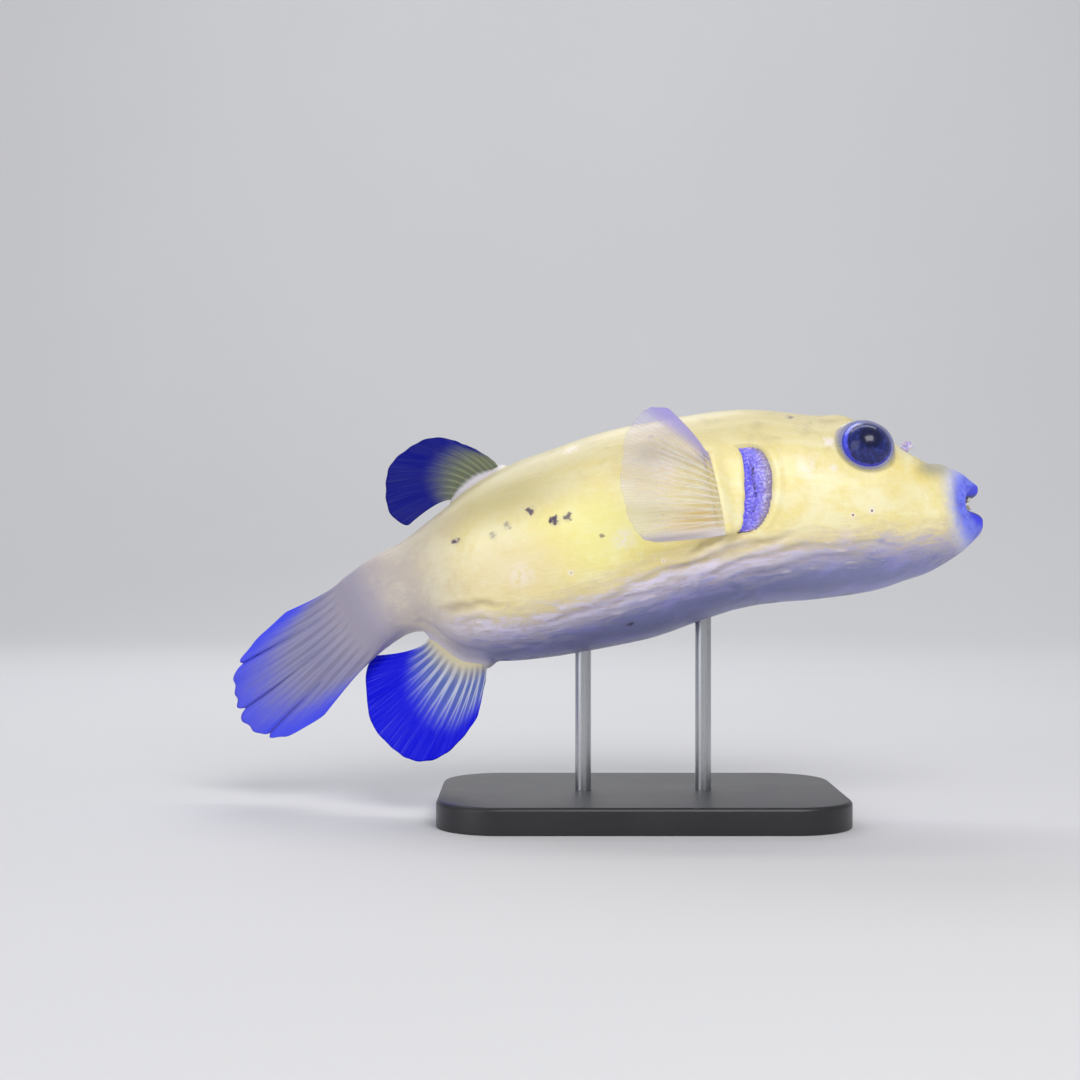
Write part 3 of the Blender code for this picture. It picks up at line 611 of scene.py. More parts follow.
def make_eye(name, side):
    """A fine eyeball with a bulging cornea. Its attribute "gaze" runs to the front and up from the pupil."""
    rows, columns = 72, 96
    tail, left, up = (np.array(way) for way in directions(EYE_ALONG))
    front, sideways, high = EYE_WAY
    out = unit(left * side * sideways + up * high - tail * front)
    fore = unit(-tail - out * np.dot(-tail, out))
    over = unit(up - out * np.dot(up, out) - fore * np.dot(up, fore))
    tilt = np.linspace(0.004, math.pi - 0.004, rows)[:, None]
    turn = np.linspace(0.0, math.tau, columns, endpoint=False)[None, :]
    reach = EYE_RADIUS + 0.45 * np.exp(-(tilt / 0.62) ** 2)
    spot = (np.cos(tilt)[..., None] * out + (np.sin(tilt) * np.cos(turn))[..., None] * fore
            + (np.sin(tilt) * np.sin(turn))[..., None] * over)
    points = place(eye_middle(side)) + spot * (reach * MM)[..., None]
    share = tilt / (math.pi / 2)
    gaze = np.stack([share * np.cos(turn), share * np.sin(turn), np.zeros((rows, columns))], -1)
    piece = mesh_object(name, points, ring_faces(rows, columns), {"gaze": gaze})
    face_outwards(piece)
    return piece


def make_fin(name, roots, outs, tips, shape):
    """A rayed fin. Its attribute "fin" holds the share from root to tip, the ray's number and the ridge, and
    "flesh" holds half the thickness and how near a fold is."""
    count = len(roots)
    columns = (count - 1) * shape["per_ray"] + 1
    rows = shape["rows"]
    v = np.linspace(0.0, count - 1.0, columns)
    end = np.minimum(v, count - 1 - v)
    v = v + np.where(v < 1, 1, -1) * (end ** 2 * (2 - end) - end) * (end < 1)
    end = np.minimum(v, count - 1 - v)
    u = np.concatenate([INNER_ROWS, np.linspace(0.0, 1.0, rows - len(INNER_ROWS)) ** 0.9])
    for _ in range(2):
        tips = tips.copy()
        tips[1:-1] = 0.5 * tips[1:-1] + 0.25 * (tips[:-2] + tips[2:])
    spread = Curve(np.column_stack([np.arange(count), roots, outs, tips]), free=True).at(v)
    root, out, tip = spread[:, :3], unit(spread[:, 3:6]), spread[:, 6:]
    apart = np.abs((v + 0.5) % 1.0 - 0.5) * 2
    short = shape["notch"] * np.sin(apart * math.pi / 2) ** 2
    for line, depth, wide, starts in shape["folds"]:
        short = short + 0.03 * depth * bell(v, line, wide * 1.6)
    corner = np.clip(1 - end / shape["corner"][0], 0.0, 1.0)
    short = short + shape["corner"][1] * (1 - np.sqrt(1 - corner ** 2))
    tip = tip + (root - tip) * short[:, None]
    length = np.linalg.norm(tip - root, axis=-1, keepdims=True)
    bend = root + out * length * shape["knee"]
    w = np.clip(u, 0.0, None)[:, None, None]
    grid = root * (1 - w) ** 2 + bend * 2 * w * (1 - w) + tip * w * w
    grid = grid + out * (np.minimum(u, 0.0)[:, None, None] * MM)
    uu, vv = np.clip(u, 0.0, 1.0)[:, None], v[None, :]
    from_ray = (vv + 0.5) % 1.0 - 0.5
    first = shape["split"] * smooth(uu, 0.15, 0.85)
    second = shape["split"] * 0.5 * smooth(uu, 0.45, 1.0)
    width = shape["ray_width"][0] + (shape["ray_width"][1] - shape["ray_width"][0]) * smooth(uu, 0.1, 0.7)
    ridge = np.zeros(np.broadcast_shapes(uu.shape, vv.shape))
    for one in (-1, 1):
        for two in (-1, 1):
            ridge = np.maximum(ridge, bell(from_ray, one * first + two * second, width))
    start, thinned = shape["thin"]
    ridge = ridge * smooth(uu, start + 0.02, start + 0.25 * (thinned - start) + 0.06) * (1 - 0.6 * uu)
    normal = unit(np.cross(np.gradient(grid, axis=0), np.gradient(grid, axis=1)))
    pleat = shape["pleat"] * np.cos(math.tau * vv) * smooth(uu, 0.1, 0.5) * (0.5 + 0.5 * uu)
    crease = np.zeros_like(ridge)
    for line, depth, wide, starts in shape["folds"]:
        here = bell(vv + 0.08 * np.sin(uu * 7.0 + line), line, wide) * smooth(uu, starts, starts + 0.35)
        pleat = pleat - depth * here
        crease = np.maximum(crease, here)
    wave = shape["wave"] * np.sin(vv * 1.9 + 1.0 + uu * 2.0) * uu ** 2
    grid = grid + normal * ((pleat + wave) * MM)[..., None]
    normal = unit(np.cross(np.gradient(grid, axis=0), np.gradient(grid, axis=1)))
    inside = np.clip(-u, 0.0, None)[:, None]
    root_half = shape["root"](v[None, :] / (count - 1), inside) / 2
    thinning = np.clip((uu - start) / (thinned - start), 0.0, 1.0)
    if shape["foot"]:
        thinning = smooth(thinning, 0.0, 1.0)
    half = shape["edge"] / 2 + (root_half - shape["edge"] / 2) * (1 - thinning) ** shape["thinning"]
    half = half + shape["ridge"] / 2 * ridge
    half = half * (1 - 0.6 * smooth(uu, 0.94, 1.0))
    half = np.maximum(half - 0.4 * smooth(inside, 2.6, 4.8), 0.3)
    top = grid + normal * (half * MM)[..., None]
    bottom = grid - normal * (half * MM)[..., None]
    fin = np.stack(np.broadcast_arrays(uu, vv, ridge), -1)
    flesh = np.stack(np.broadcast_arrays(half, crease, 0.0 * vv), -1)
    piece = mesh_object(name, np.stack([top, bottom]), plate_faces(len(u), columns),
                        {"fin": np.stack([fin, fin]), "flesh": np.stack([flesh, flesh])})
    face_outwards(piece)
    return piece


def midline_rays(roots, keys, count, up_or_down):
    """Rays of the dorsal (1) or anal (-1) fin: roots, outward ways and tips."""
    share = np.linspace(0.0, 1.0, count)
    along = roots[0] + (roots[1] - roots[0]) * share
    angle = np.full(count, up_or_down * math.pi / 2)

    def skin_at(places):
        side, rise = section(places, angle)
        return place(np.stack([places, side, rise], -1))
    run = unit(skin_at(along + 1) - skin_at(along - 1))
    here = directions(along)[2] * up_or_down
    out = unit(here - run * np.sum(here * run, axis=-1, keepdims=True))
    root = skin_at(along)
    tail, left, up = directions(sum(roots) / 2)
    angle_of, length, lean = Curve(keys, free=True).at(share).T
    angle_of = np.radians(angle_of)[:, None]
    way = tail * np.cos(angle_of) + up * up_or_down * np.sin(angle_of) + left * lean[:, None]
    return root, out, root + unit(way) * length[:, None] * MM


def tail_rise(share):
    """Heights over the spine down the root of the tail fin."""
    back, belly = BODY.at(TAIL_END)[:2]
    return (back + (-belly - back) * share) * TAIL_ROOT_HEIGHT


def caudal_rays():
    share = np.linspace(0.0, 1.0, CAUDAL_RAYS)
    rise = tail_rise(share)
    root = place(np.stack([np.full_like(rise, TAIL_END), np.zeros_like(rise), rise], -1))
    tail, left, up = directions(TAIL_END)
    angle, length, lean = Curve(CAUDAL, free=True).at(share).T
    angle = np.radians(angle)[:, None]
    way = tail * np.cos(angle) + up * np.sin(angle) + left * lean[:, None]
    return root, np.broadcast_to(tail, root.shape), root + unit(way) * length[:, None] * MM


def pectoral_rays(keys, side):
    share = np.linspace(0.0, 1.0, PECTORAL_RAYS)
    along, rise = (first + (last - first) * share for first, last in (PECTORAL_ALONG, PECTORAL_RISE))
    out = flank_out(along, rise, side)
    root = place(flank(along, rise, side))
    tail, left, up = directions(sum(PECTORAL_ALONG) / 2)
    back, high, wide, length = Curve(keys, free=True).at(share).T
    way = tail * back[:, None] + up * high[:, None] + left * side * wide[:, None]
    return root, out, root + unit(way) * length[:, None] * MM


def tail_root(share, inside):
    """The tail stock's own thickness where the fin leaves it, and so many millimetres inside it."""
    rise = tail_rise(share)
    back, belly, wide = np.moveaxis(BODY.at(TAIL_END - inside)[..., :3], -1, 0)
    apart = np.minimum(1.0, np.abs(rise) / np.where(rise > 0, back, belly))
    return np.maximum(1.2, 2 * wide * rounded(apart))


def even_root(thick, thinner=0.0):
    """A root of one thickness, less so much at its rear end."""
    return lambda share, inside: thick - thinner * share ** 2 + 0.0 * inside


def make_gill(name, side):
    """The moist membrane in a gill opening: two pleated lips that meet at a slit."""
    rows, columns = 180, 60
    height = 0.985 * np.sin(np.linspace(-math.pi / 2, math.pi / 2, rows))[:, None]
    share = np.linspace(0.0, 1.0, columns)[None, :]
    bulge = 1 - height * height
    front, back = gill_edges(height)
    along = front - 0.25 + (back - front + 0.5) * share
    rise = GILL_MIDDLE + GILL_HALF_HEIGHT * height
    along, rise = np.broadcast_arrays(along, rise)
    base = flank(along, rise, side)
    out = flank_out(along, rise, side)
    slit = GILL_SLIT + 0.05 * np.sin(height * 5.0)
    lift = -1.5 + 1.15 * np.sin(np.clip(share / slit, 0, 1) * math.pi) ** 0.7 * bulge ** 0.4
    lift = lift + 1.0 * np.sin(np.clip((share - slit) / (1 - slit), 0, 1) * math.pi) ** 0.6 * bulge ** 0.4
    pleats = np.abs(np.sin(height * 26.0 + share * 5.0 + 3.0 * clouds(base, 0.22, 4.4)
                           + 2.4 * clouds(base, 0.7, 2.4)))
    lift = lift - 0.16 * pleats * smooth(share, 0.02, 0.2) * (1 - bell(share, slit, 0.06))
    lift = lift + 0.26 * clouds(base, 0.6, 9.0) + 0.16 * clouds(base, 1.6, 9.0)
    top = place(base) + out * (lift * MM)[..., None]
    bottom = place(base) - out * 2.2 * MM
    gill = np.stack(np.broadcast_arrays(share, height, pleats), -1)
    fish = np.stack([base, base])
    piece = mesh_object(name, np.stack([top, bottom]), plate_faces(rows, columns),
                        {"gill": np.stack([gill, gill]), "fish": fish})
    face_outwards(piece)
    return piece


def lobe(root, way, flat, length, wide, thick, rings=14, sides=20):
    """Points and faces of one tapered, rounded lobe."""
    third = np.cross(way, flat)
    share = np.linspace(0.0, 1.0, rings)
    full = np.sqrt(np.clip(1 - ((share - 0.42) / 0.58) ** 2 * (share > 0.42), 0.0, 1.0))
    full = np.maximum(full * (0.78 + 0.22 * smooth(share, 0.0, 0.5)), 0.04)
    turn = np.linspace(0.0, math.tau, sides, endpoint=False)
    points = (root + way * (length * share)[:, None, None] + third * (wide * full[:, None]
              * np.cos(turn))[..., None] + flat * (thick * full[:, None] * np.sin(turn))[..., None])
    return points.reshape(-1, 3), ring_faces(rings, sides)


def make_nostril(name, side):
    """A tuft of soft lobes that rise from one foot on the snout."""
    along, height = NOSTRIL_ALONG, NOSTRIL_HEIGHT * MM
    back, wide = BODY.at(along)[:3:2]
    rise = back * rounded(NOSTRIL_SIDE / wide)
    out = flank_out(np.array(along), np.array(rise), side)
    root = place(flank(along, rise, side)) - out * 0.5 * MM
    tail = directions(along)[0]
    fore = unit(tail - out * np.dot(tail, out))
    flat = unit(np.cross(out, fore))
    points, faces = [], []
    for lean, tip, length, wide_of, thick, start in NOSTRIL_LOBES:
        way = unit(out + fore * lean + flat * tip)
        thin = unit(flat - way * np.dot(flat, way))
        more, these = lobe(root + out * height * start, way, thin, height * length * 0.85,
                           wide_of * MM, thick * MM)
        faces += [[index + sum(len(p) for p in points) for index in face] for face in these]
        points.append(more)
    points = np.concatenate(points)
    return mesh_object(name, points, faces, {"fish": points / MM})


def hard_edged(piece):
    """A piece of the stand, whose edges stay sharp."""
    face_outwards(piece)
    piece.data.set_sharp_from_angle(angle=SHARP_EDGE)
    return piece


def make_base():
    """The stand's flat base: round corners, and a rounded upper edge."""
    steps = 24
    fillet = [(BASE_FOOT, 0.0), (0.0, BASE_FOOT)]
    fillet += [(BASE_FILLET * (1 - math.cos(a)), BASE_HEIGHT - BASE_FILLET * (1 - math.sin(a)))
               for a in np.linspace(0.0, math.pi / 2, 9)]
    rings = []
    for inset, height in fillet:
        ring = []
        for x, y, start in ((1, 1, 0.0), (-1, 1, 90.0), (-1, -1, 180.0), (1, -1, 270.0)):
            for turn in np.radians(start + np.linspace(0.0, 90.0, steps)):
                reach = BASE_CORNER - inset
                ring.append((x * (BASE_LENGTH / 2 - BASE_CORNER) + reach * math.cos(turn),
                             y * (BASE_WIDTH / 2 - BASE_CORNER) + reach * math.sin(turn), height))
        rings.append(ring)
    points = np.array(rings)
    return hard_edged(mesh_object("base", points, ring_faces(*points.shape[:2]), {}))


def make_rod(name, x, skin):
    """A round rod from the base up into the belly."""
    mesh = skin.data
    tree = BVHTree.FromPolygons([v.co for v in mesh.vertices], [p.vertices for p in mesh.polygons])
    sides = 48
    turn = np.linspace(0.0, math.tau, sides, endpoint=False)
    ring = np.stack([x + ROD_RADIUS * np.cos(turn), ROD_RADIUS * np.sin(turn)], -1)
    rows = [np.column_stack([ring, np.full(sides, BASE_HEIGHT - 0.0002)])]
    tops = [tree.ray_cast(Vector((px, py, 0.0)), Vector((0, 0, 1)))[0].z + 0.0004 for px, py in ring]
    rows.append(np.column_stack([ring, np.array(tops)]))
    return hard_edged(mesh_object(name, np.array(rows), ring_faces(2, sides), {}))


def colour(red, green, blue):
    """A colour as it looks on a screen, from 0 to 255, in the linear form that shaders take."""
    def linear(value):
        value /= 255
        return value / 12.92 if value <= 0.04045 else ((value + 0.055) / 1.055) ** 2.4
    return linear(red), linear(green), linear(blue), 1.0


# Where the tail stock meets its fin, both have this colour
TAIL_ROOT = (168, 161, 179)


class Value:
    """What a node gives, with sums and soft steps that add further nodes."""

    def __init__(self, look, socket):
        self.look = look
        self.socket = socket

    def __add__(self, other):
        return self.look.math("ADD", self, other)

    __radd__ = __add__

    def __sub__(self, other):
        return self.look.math("SUBTRACT", self, other)

    def __rsub__(self, other):
        return self.look.math("SUBTRACT", other, self)

    def __mul__(self, other):
        return self.look.math("MULTIPLY", self, other)

    def __pow__(self, other):
        return self.look.math("POWER", self, other)

    def __abs__(self):
        return self.look.math("ABSOLUTE", self)

    def smooth(self, start, end):
        """A soft step from 0 at start to 1 at end, which falls where end is the lower of the two."""
        return self.look.node("ShaderNodeMapRange", "Result", {"Value": self, "From Min": start,
                              "From Max": end}, interpolation_type="SMOOTHSTEP")

    def tint(self, share, *other):
        """This colour, mixed by a share with another one, given from 0 to 255."""
        return self.look.mix(share, self, other)


class Look:
    """One material, with short ways to add nodes to it."""

    def __init__(self, name, **settings):
        self.material = bpy.data.materials.new(name)
        self.material.use_nodes = True
        self.tree = self.material.node_tree
        self.shader = self.tree.nodes["Principled BSDF"]
        self.finish(**settings)

    def feed(self, socket, value):
        if isinstance(value, Value):
            self.tree.links.new(value.socket, socket)
        else:
            socket.default_value = value

    def node(self, kind, output, inputs, **options):
        """What one output of a new node gives."""
        made = self.tree.nodes.new(kind)
        for option, value in options.items():
            setattr(made, option, value)
        for socket, value in inputs.items():
            self.feed(made.inputs[socket], value)
        return Value(self, made.outputs[output])

    def attribute(self, name):
        return self.node("ShaderNodeAttribute", "Vector", {}, attribute_name=name)

    def where(self):
        """The place on the piece, in metres."""
        return self.node("ShaderNodeTexCoord", "Object", {})

    def parts(self, vector):
        first = self.node("ShaderNodeSeparateXYZ", 0, {0: vector})
        return [Value(self, socket) for socket in first.socket.node.outputs]

    def math(self, operation, *values):
        return self.node("ShaderNodeMath", 0, dict(enumerate(values)), operation=operation)

    def scaled(self, vector, *by):
        return self.node("ShaderNodeVectorMath", 0, {0: vector, 1: by}, operation="MULTIPLY")

    def apart(self, vector, point):
        return self.node("ShaderNodeVectorMath", "Value", {0: vector, 1: tuple(point)}, operation="DISTANCE")

    def near(self, vector, point, inner, outer):
        """1 within the inner distance of a point, 0 past the outer one."""
        return self.apart(vector, point).smooth(outer, inner)

    def noise(self, vector, scale, detail=3.0, roughness=0.55, distortion=0.0):
        return self.node("ShaderNodeTexNoise", 0, {"Vector": vector, "Scale": scale, "Detail": detail,
                                                   "Roughness": roughness, "Distortion": distortion})

    def cells(self, vector, scale):
        return self.node("ShaderNodeTexVoronoi", "Distance", {"Vector": vector, "Scale": scale})

    def mix(self, share, first, second):
        """Between two colours, each from a node or given from 0 to 255."""
        first, second = (tint if isinstance(tint, Value) else colour(*tint) for tint in (first, second))
        return self.node("ShaderNodeMix", 2, {0: share, 6: first, 7: second}, data_type="RGBA")

    def bump(self, height, distance, strength=1.0, after=None):
        inputs = {"Height": height, "Distance": distance, "Strength": strength}
        if after is not None:
            inputs["Normal"] = after
        return self.node("ShaderNodeBump", "Normal", inputs)

    def finish(self, **links):
        for socket, value in links.items():
            self.feed(self.shader.inputs[socket.replace("_", " ")], value)
        return self.material


# Marks on the skin: along, rise, side (-1 is the right), radius in millimetres, and strength
INK_MARKS = (
    (143.0, 9.2, -1, 1.7, 0.9), (136.4, 3.8, -1, 2.0, 0.95), (132.8, 3.9, -1, 1.7, 0.8),
    (167.3, 6.1, -1, 1.5, 0.9), (150.8, 6.3, -1, 1.5, 0.4), (155.5, 4.5, -1, 1.5, 0.4),
    (62.8, 27.0, -1, 1.8, 0.6), (103.0, 24.0, -1, 1.2, 0.4), (122.0, -31.0, -1, 1.3, 0.8),
    (124.0, -4.4, -1, 0.8, 0.6),
    (128.0, 12.0, 1, 2.0, 0.9), (149.0, 6.0, 1, 1.7, 0.8), (112.0, 20.0, 1, 1.5, 0.7),
    (70.0, 22.0, 1, 1.6, 0.6), (120.0, 2.0, 1, 1.3, 0.5),
)
SPECKS = ((40.2, -5.6, -1, 0.55), (46.4, -7.2, -1, 0.45), (43.0, -4.0, 1, 0.5), (135.6, -13.0, -1, 0.45),
          (108.0, -16.0, -1, 0.4))
# Pale, pinkish patches, the same way
PALE_MARKS = (
    (127.0, 27.0, -1, 4.2, 0.5), (48.6, -14.0, -1, 4.6, 0.9), (12.0, 7.0, -1, 3.0, 0.8),
    (60.0, 8.0, -1, 6.0, 0.5), (72.0, -16.0, -1, 4.0, 0.5), (52.0, 17.0, -1, 3.2, 0.9),
    (51.0, 8.0, -1, 2.4, 0.8), (118.0, -7.0, -1, 5.0, 0.6), (100.0, 12.0, -1, 8.0, 0.45),
    (150.0, -10.0, -1, 6.0, 0.5), (60.0, 0.0, 1, 6.0, 0.5), (124.0, -8.0, 1, 6.0, 0.5),
)


def skin_look():
    """Golden skin with cream patches and ink marks, a lilac belly with painted shade below, and blue lips.
    """
    look = Look("golden skin", Subsurface_Weight=0.12, Subsurface_Scale=0.0016, Coat_Weight=0.22,
                Coat_Roughness=0.22, Specular_IOR_Level=0.45,
                Subsurface_Radius=(1.0, 0.72, 0.42))
    fish = look.attribute("fish")
    along, rise = look.parts(fish)[::2]
    under, mouth, lids = look.parts(look.attribute("zones"))
    groove_shade, crest, foot = look.parts(look.attribute("creases"))
    broad = look.noise(fish, 0.04, 3.0, 0.5)
    patch = look.noise(look.scaled(fish, 0.06, 0.11, 0.11), 1.0, 4.0, 0.6, 0.4)
    fine = look.noise(fish, 0.5, 5.0, 0.65)
    grain = look.noise(fish, 2.2, 3.0, 0.6)
    streak = look.noise(look.scaled(fish, 0.10, 0.5, 0.5), 1.0, 4.0, 0.6, 0.6)
    gold = look.mix(patch.smooth(0.4, 0.62), (246, 231, 160), (251, 241, 192))
    gold = gold.tint(broad.smooth(0.54, 0.68) * 0.45, 242, 220, 124)
    gold = gold.tint(fine.smooth(0.48, 0.72) * 0.45, 254, 247, 212)
    gold = gold.tint(fine.smooth(0.46, 0.3) * 0.22, 222, 208, 140)
    high = (rise + broad * 9.0).smooth(14.0, 32.0)
    gold = gold.tint(high * 0.85, 210, 197, 148)
    mottled = high * look.noise(fish, 0.13, 4.0, 0.6).smooth(0.48, 0.66)
    gold = gold.tint(mottled * 0.5, 190, 176, 132)
    # painted shade: the rear of the back is darkened towards olive
    rear_back_shade = along.smooth(112.0, 150.0) * rise.smooth(2.0, 16.0)
    gold = gold.tint(rear_back_shade * 0.85, 200, 188, 140)
    # bright yellow of the rear flank, and behind the pectoral fin's foot an orange tint that is painted
    # shade
    rear = look.near(look.scaled(fish, 0.55, 0.0, 1.0), (69.0, 0.0, -3.0), 4.0, 17.0)
    gold = gold.tint(rear * 0.55, 255, 249, 156)
    tan = look.near(look.scaled(fish, 0.6, 0.0, 1.0), (91.0, 0.0, -8.0), 4.0, 16.0)
    gold = gold.tint(tan * 0.5, 238, 218, 176)
    # painted shade: an orange patch round the pectoral fin's foot
    armpit_shade = look.near(look.scaled(fish, 0.8, 0.0, 1.0), (76.5, 0.0, -7.0), 1.0, 8.0)
    gold = gold.tint(armpit_shade * 0.75, 234, 196, 72)
    temple = look.near(look.scaled(fish, 1.0, 0.0, 1.0), (23.0, 0.0, 8.0), 0.5, 7.0)
    gold = gold.tint(temple * 0.6, 240, 214, 96)
    for mark_along, mark_rise, mark_side, radius, strength in PALE_MARKS:
        spot = flank(mark_along, mark_rise, mark_side)
        here = look.near(fish, spot, 0.2, radius) * fine.smooth(0.35, 0.55)
        gold = gold.tint(here * strength, 252, 240, 242)
    # lilac belly, brownish where it meets the gold, with a pale wrinkled band below; the darker grey lilac
    # lower down is painted shade
    wander = under + (streak - 0.5) * 13.0
    gold = gold.tint(wander.smooth(-7.5, -1.0) * 0.6, 222, 205, 166)
    lilac = look.mix(streak.smooth(0.35, 0.62), (188, 178, 196), (226, 218, 240))
    # painted shade: the lower belly turns a darker grey lilac
    deep = look.mix(patch.smooth(0.4, 0.65), (137, 140, 188), (152, 151, 212))
    front = along.smooth(80.0, 45.0)
    lilac = lilac.tint(front * 0.6, 178, 170, 176)
    lower = wander + front * 1.5
    belly = look.mix(lower.smooth(2.5, 10.0), lilac, deep)
    skin = look.mix(wander.smooth(-3.0, 3.5), gold, belly)
    # the tail stock turns beige, then lilac
    stock = (along + broad * 16.0).smooth(168.0, 196.0)
    beige = look.mix(patch.smooth(0.4, 0.6), (202, 190, 182), (214, 204, 188))
    skin = look.mix(stock, skin, beige)
    root = (along + fine * 5.0).smooth(192.0, 207.5)
    skin = look.mix(root, skin, TAIL_ROOT)
    # painted shade in the creases, pale crests beside them, and the pale feet of the fins
    skin = skin.tint(groove_shade.smooth(0.15, 0.75) * 0.42, 160, 136, 100)
    skin = skin.tint(crest.smooth(0.15, 0.9) * 0.45, 246, 236, 240)
    skin = skin.tint(foot.smooth(0.2, 0.8) * 0.85, 218, 210, 220)
    # muzzle and lips
    from_mouth = mouth + fine * 6.0
    hump = from_mouth.smooth(28.0, 20.0) * rise.smooth(4.0, 11.0)
    skin = skin.tint(hump * 0.9, 170, 166, 146)
    skin = skin.tint(from_mouth.smooth(18.0, 10.0) * 0.85, 204, 210, 240)
    blue = look.mix(fine.smooth(0.45, 0.62), (122, 134, 252), (92, 100, 230))
    skin = look.mix(from_mouth.smooth(14.0, 6.5), skin, blue)
    skin = skin.tint(mouth.smooth(2.0, -1.0), 62, 68, 248)
    # painted shade: the skin inside the mouth turns dark navy
    skin = skin.tint(mouth.smooth(-1.5, -5.0), 34, 28, 92)
    # rim of the eye: clear blue-grey above and in front, and below and behind a fold whose brown is painted
    # shadow
    above = (rise + along * -0.3).smooth(EYE_RISE - 16.0, EYE_RISE - 8.0)
    shade = look.mix(above, (138, 130, 96), (120, 126, 184))
    skin = look.mix(lids.smooth(2.0, 0.5) * 0.7, skin, shade)
    skin = skin.tint(lids.smooth(0.5, 0.1) * 0.7, 112, 118, 170)
    # ink marks and specks: blots whose edges wander
    blot = look.noise(fish, 0.6, 2.0, 0.6) - 0.5
    for mark_along, mark_rise, mark_side, radius, strength in INK_MARKS:
        spot = flank(mark_along, mark_rise, mark_side)
        apart = look.apart(fish, spot)
        ragged = apart + blot * (4.0 * radius)
        skin = skin.tint(apart.smooth(radius * 1.3, radius * 0.5) * 0.16, 160, 144, 160)
        ink = ragged.smooth(radius * 0.95, radius * 0.2) * apart.smooth(radius * 1.3, radius)
        skin = skin.tint(ink * strength, 74, 58, 92)
    for mark_along, mark_rise, mark_side, radius in SPECKS:
        spot = flank(mark_along, mark_rise, mark_side)
        ragged = look.apart(fish, spot) + blot * (2.0 * radius)
        skin = skin.tint(ragged.smooth(radius * 3.2, radius) * 0.5, 254, 242, 240)
        skin = skin.tint(ragged.smooth(radius, radius * 0.5), 112, 84, 116)
    # surface: fine pores and prickles over soft wrinkles
    pores = look.cells(fish, 1.1)
    height = pores * 0.35 + grain * 0.5
    normal = look.bump(height, 0.00010, 0.6)
    normal = look.bump(streak, 0.0006, 0.35, normal)
    rough = 0.36 + fine * 0.22
    return look.finish(Base_Color=skin, Roughness=rough, Normal=normal)


def fin_look(name, tints, reach, slant=0.0, rays=0.6, clear=1.0, ends=0.0):
    """A fin's membrane, with tints for its root, middle, margin, rays and valleys, and painted shade for its
    folds. Reach holds the shares of the length where the root's tint ends and where the margin's begins,
    slant moves them from ray to ray, clear below 1 makes the membrane see-through between its rays, and
    ends moves the margin's tint in along the outer ones of 11 rays."""
    root, middle, margin, ray, valley, fold = tints
    look = Look(name, Subsurface_Weight=0.12, Subsurface_Scale=0.0010, Coat_Weight=0.05,
                Coat_Roughness=0.3, Specular_IOR_Level=0.15)
    fin = look.attribute("fin")
    share, number, ridge = look.parts(fin)
    half, crease = look.parts(look.attribute("flesh"))[:2]
    fine = look.noise(look.scaled(fin, 7.0, 1.6, 0.0), 1.0, 4.0, 0.6)
    grain = look.noise(look.scaled(fin, 60.0, 26.0, 0.0), 1.0, 3.0, 0.6)
    lines = look.noise(look.scaled(fin, 1.4, 11.0, 0.0), 1.0, 3.0, 0.65)
    run = share + (fine - 0.5) * 0.14
    slanted = run + (number - 5.0) * slant
    slanted = slanted + (lines - 0.5) * 0.2
    outer = abs(number * 0.2 - 1.0) ** 2.0
    slanted = slanted + outer * ends
    foot = share + (fine - 0.5) * 0.05
    tint = look.mix(foot.smooth(reach[0], reach[1]), root, middle)
    tint = look.mix(slanted.smooth(reach[2], reach[3]), tint, margin)
    fade = slanted.smooth(reach[3], reach[2])
    out = foot.smooth(reach[0], reach[0] + 0.15)
    pale = ridge.smooth(0.15, 0.6) * (fade * out)
    tint = look.mix(pale * rays, tint, ray)
    low = ridge.smooth(0.15, 0.0) * (fade * out)
    tint = look.mix(low * 0.4, tint, valley)
    inner = out * (fade * 0.75 + 0.25)
    thread = lines.smooth(0.5, 0.72) * inner
    tint = look.mix(thread * 0.3, tint, ray)
    thread = lines.smooth(0.48, 0.3) * inner
    tint = look.mix(thread * 0.35, tint, valley)
    # painted shade darkens the membrane in the folds
    tint = look.mix(crease.smooth(0.5, 1.0) * 0.7, tint, fold)
    joints = look.math("PINGPONG", share * 34.0, 0.5)
    joints = joints.smooth(0.14, 0.02) * ridge.smooth(0.2, 0.6)
    bumps = grain - joints + lines * 1.2
    links = {"Base_Color": tint, "Roughness": 0.34 + fine * 0.2, "Normal": look.bump(bumps, 0.00008, 0.7)}
    if clear < 1.0:
        body = clear + ridge.smooth(0.1, 0.8) * (0.5 * (1 - clear))
        body = body * (1.1 - share * 0.6)
        body = look.math("MAXIMUM", body, number.smooth(3.4, 0.0) * 0.7)
        body = look.math("MAXIMUM", body, number.smooth(11.5, 13.8) * 0.75)
        links["Alpha"] = look.math("MAXIMUM", body, half.smooth(0.5, 1.2))
        tint = tint.tint(number.smooth(4.6, 0.3) * 0.85, 174, 164, 236)
        tint = tint.tint(number.smooth(11.0, 13.8) * 0.8, 246, 240, 250)
        links["Base_Color"] = tint
    return look.finish(**links)


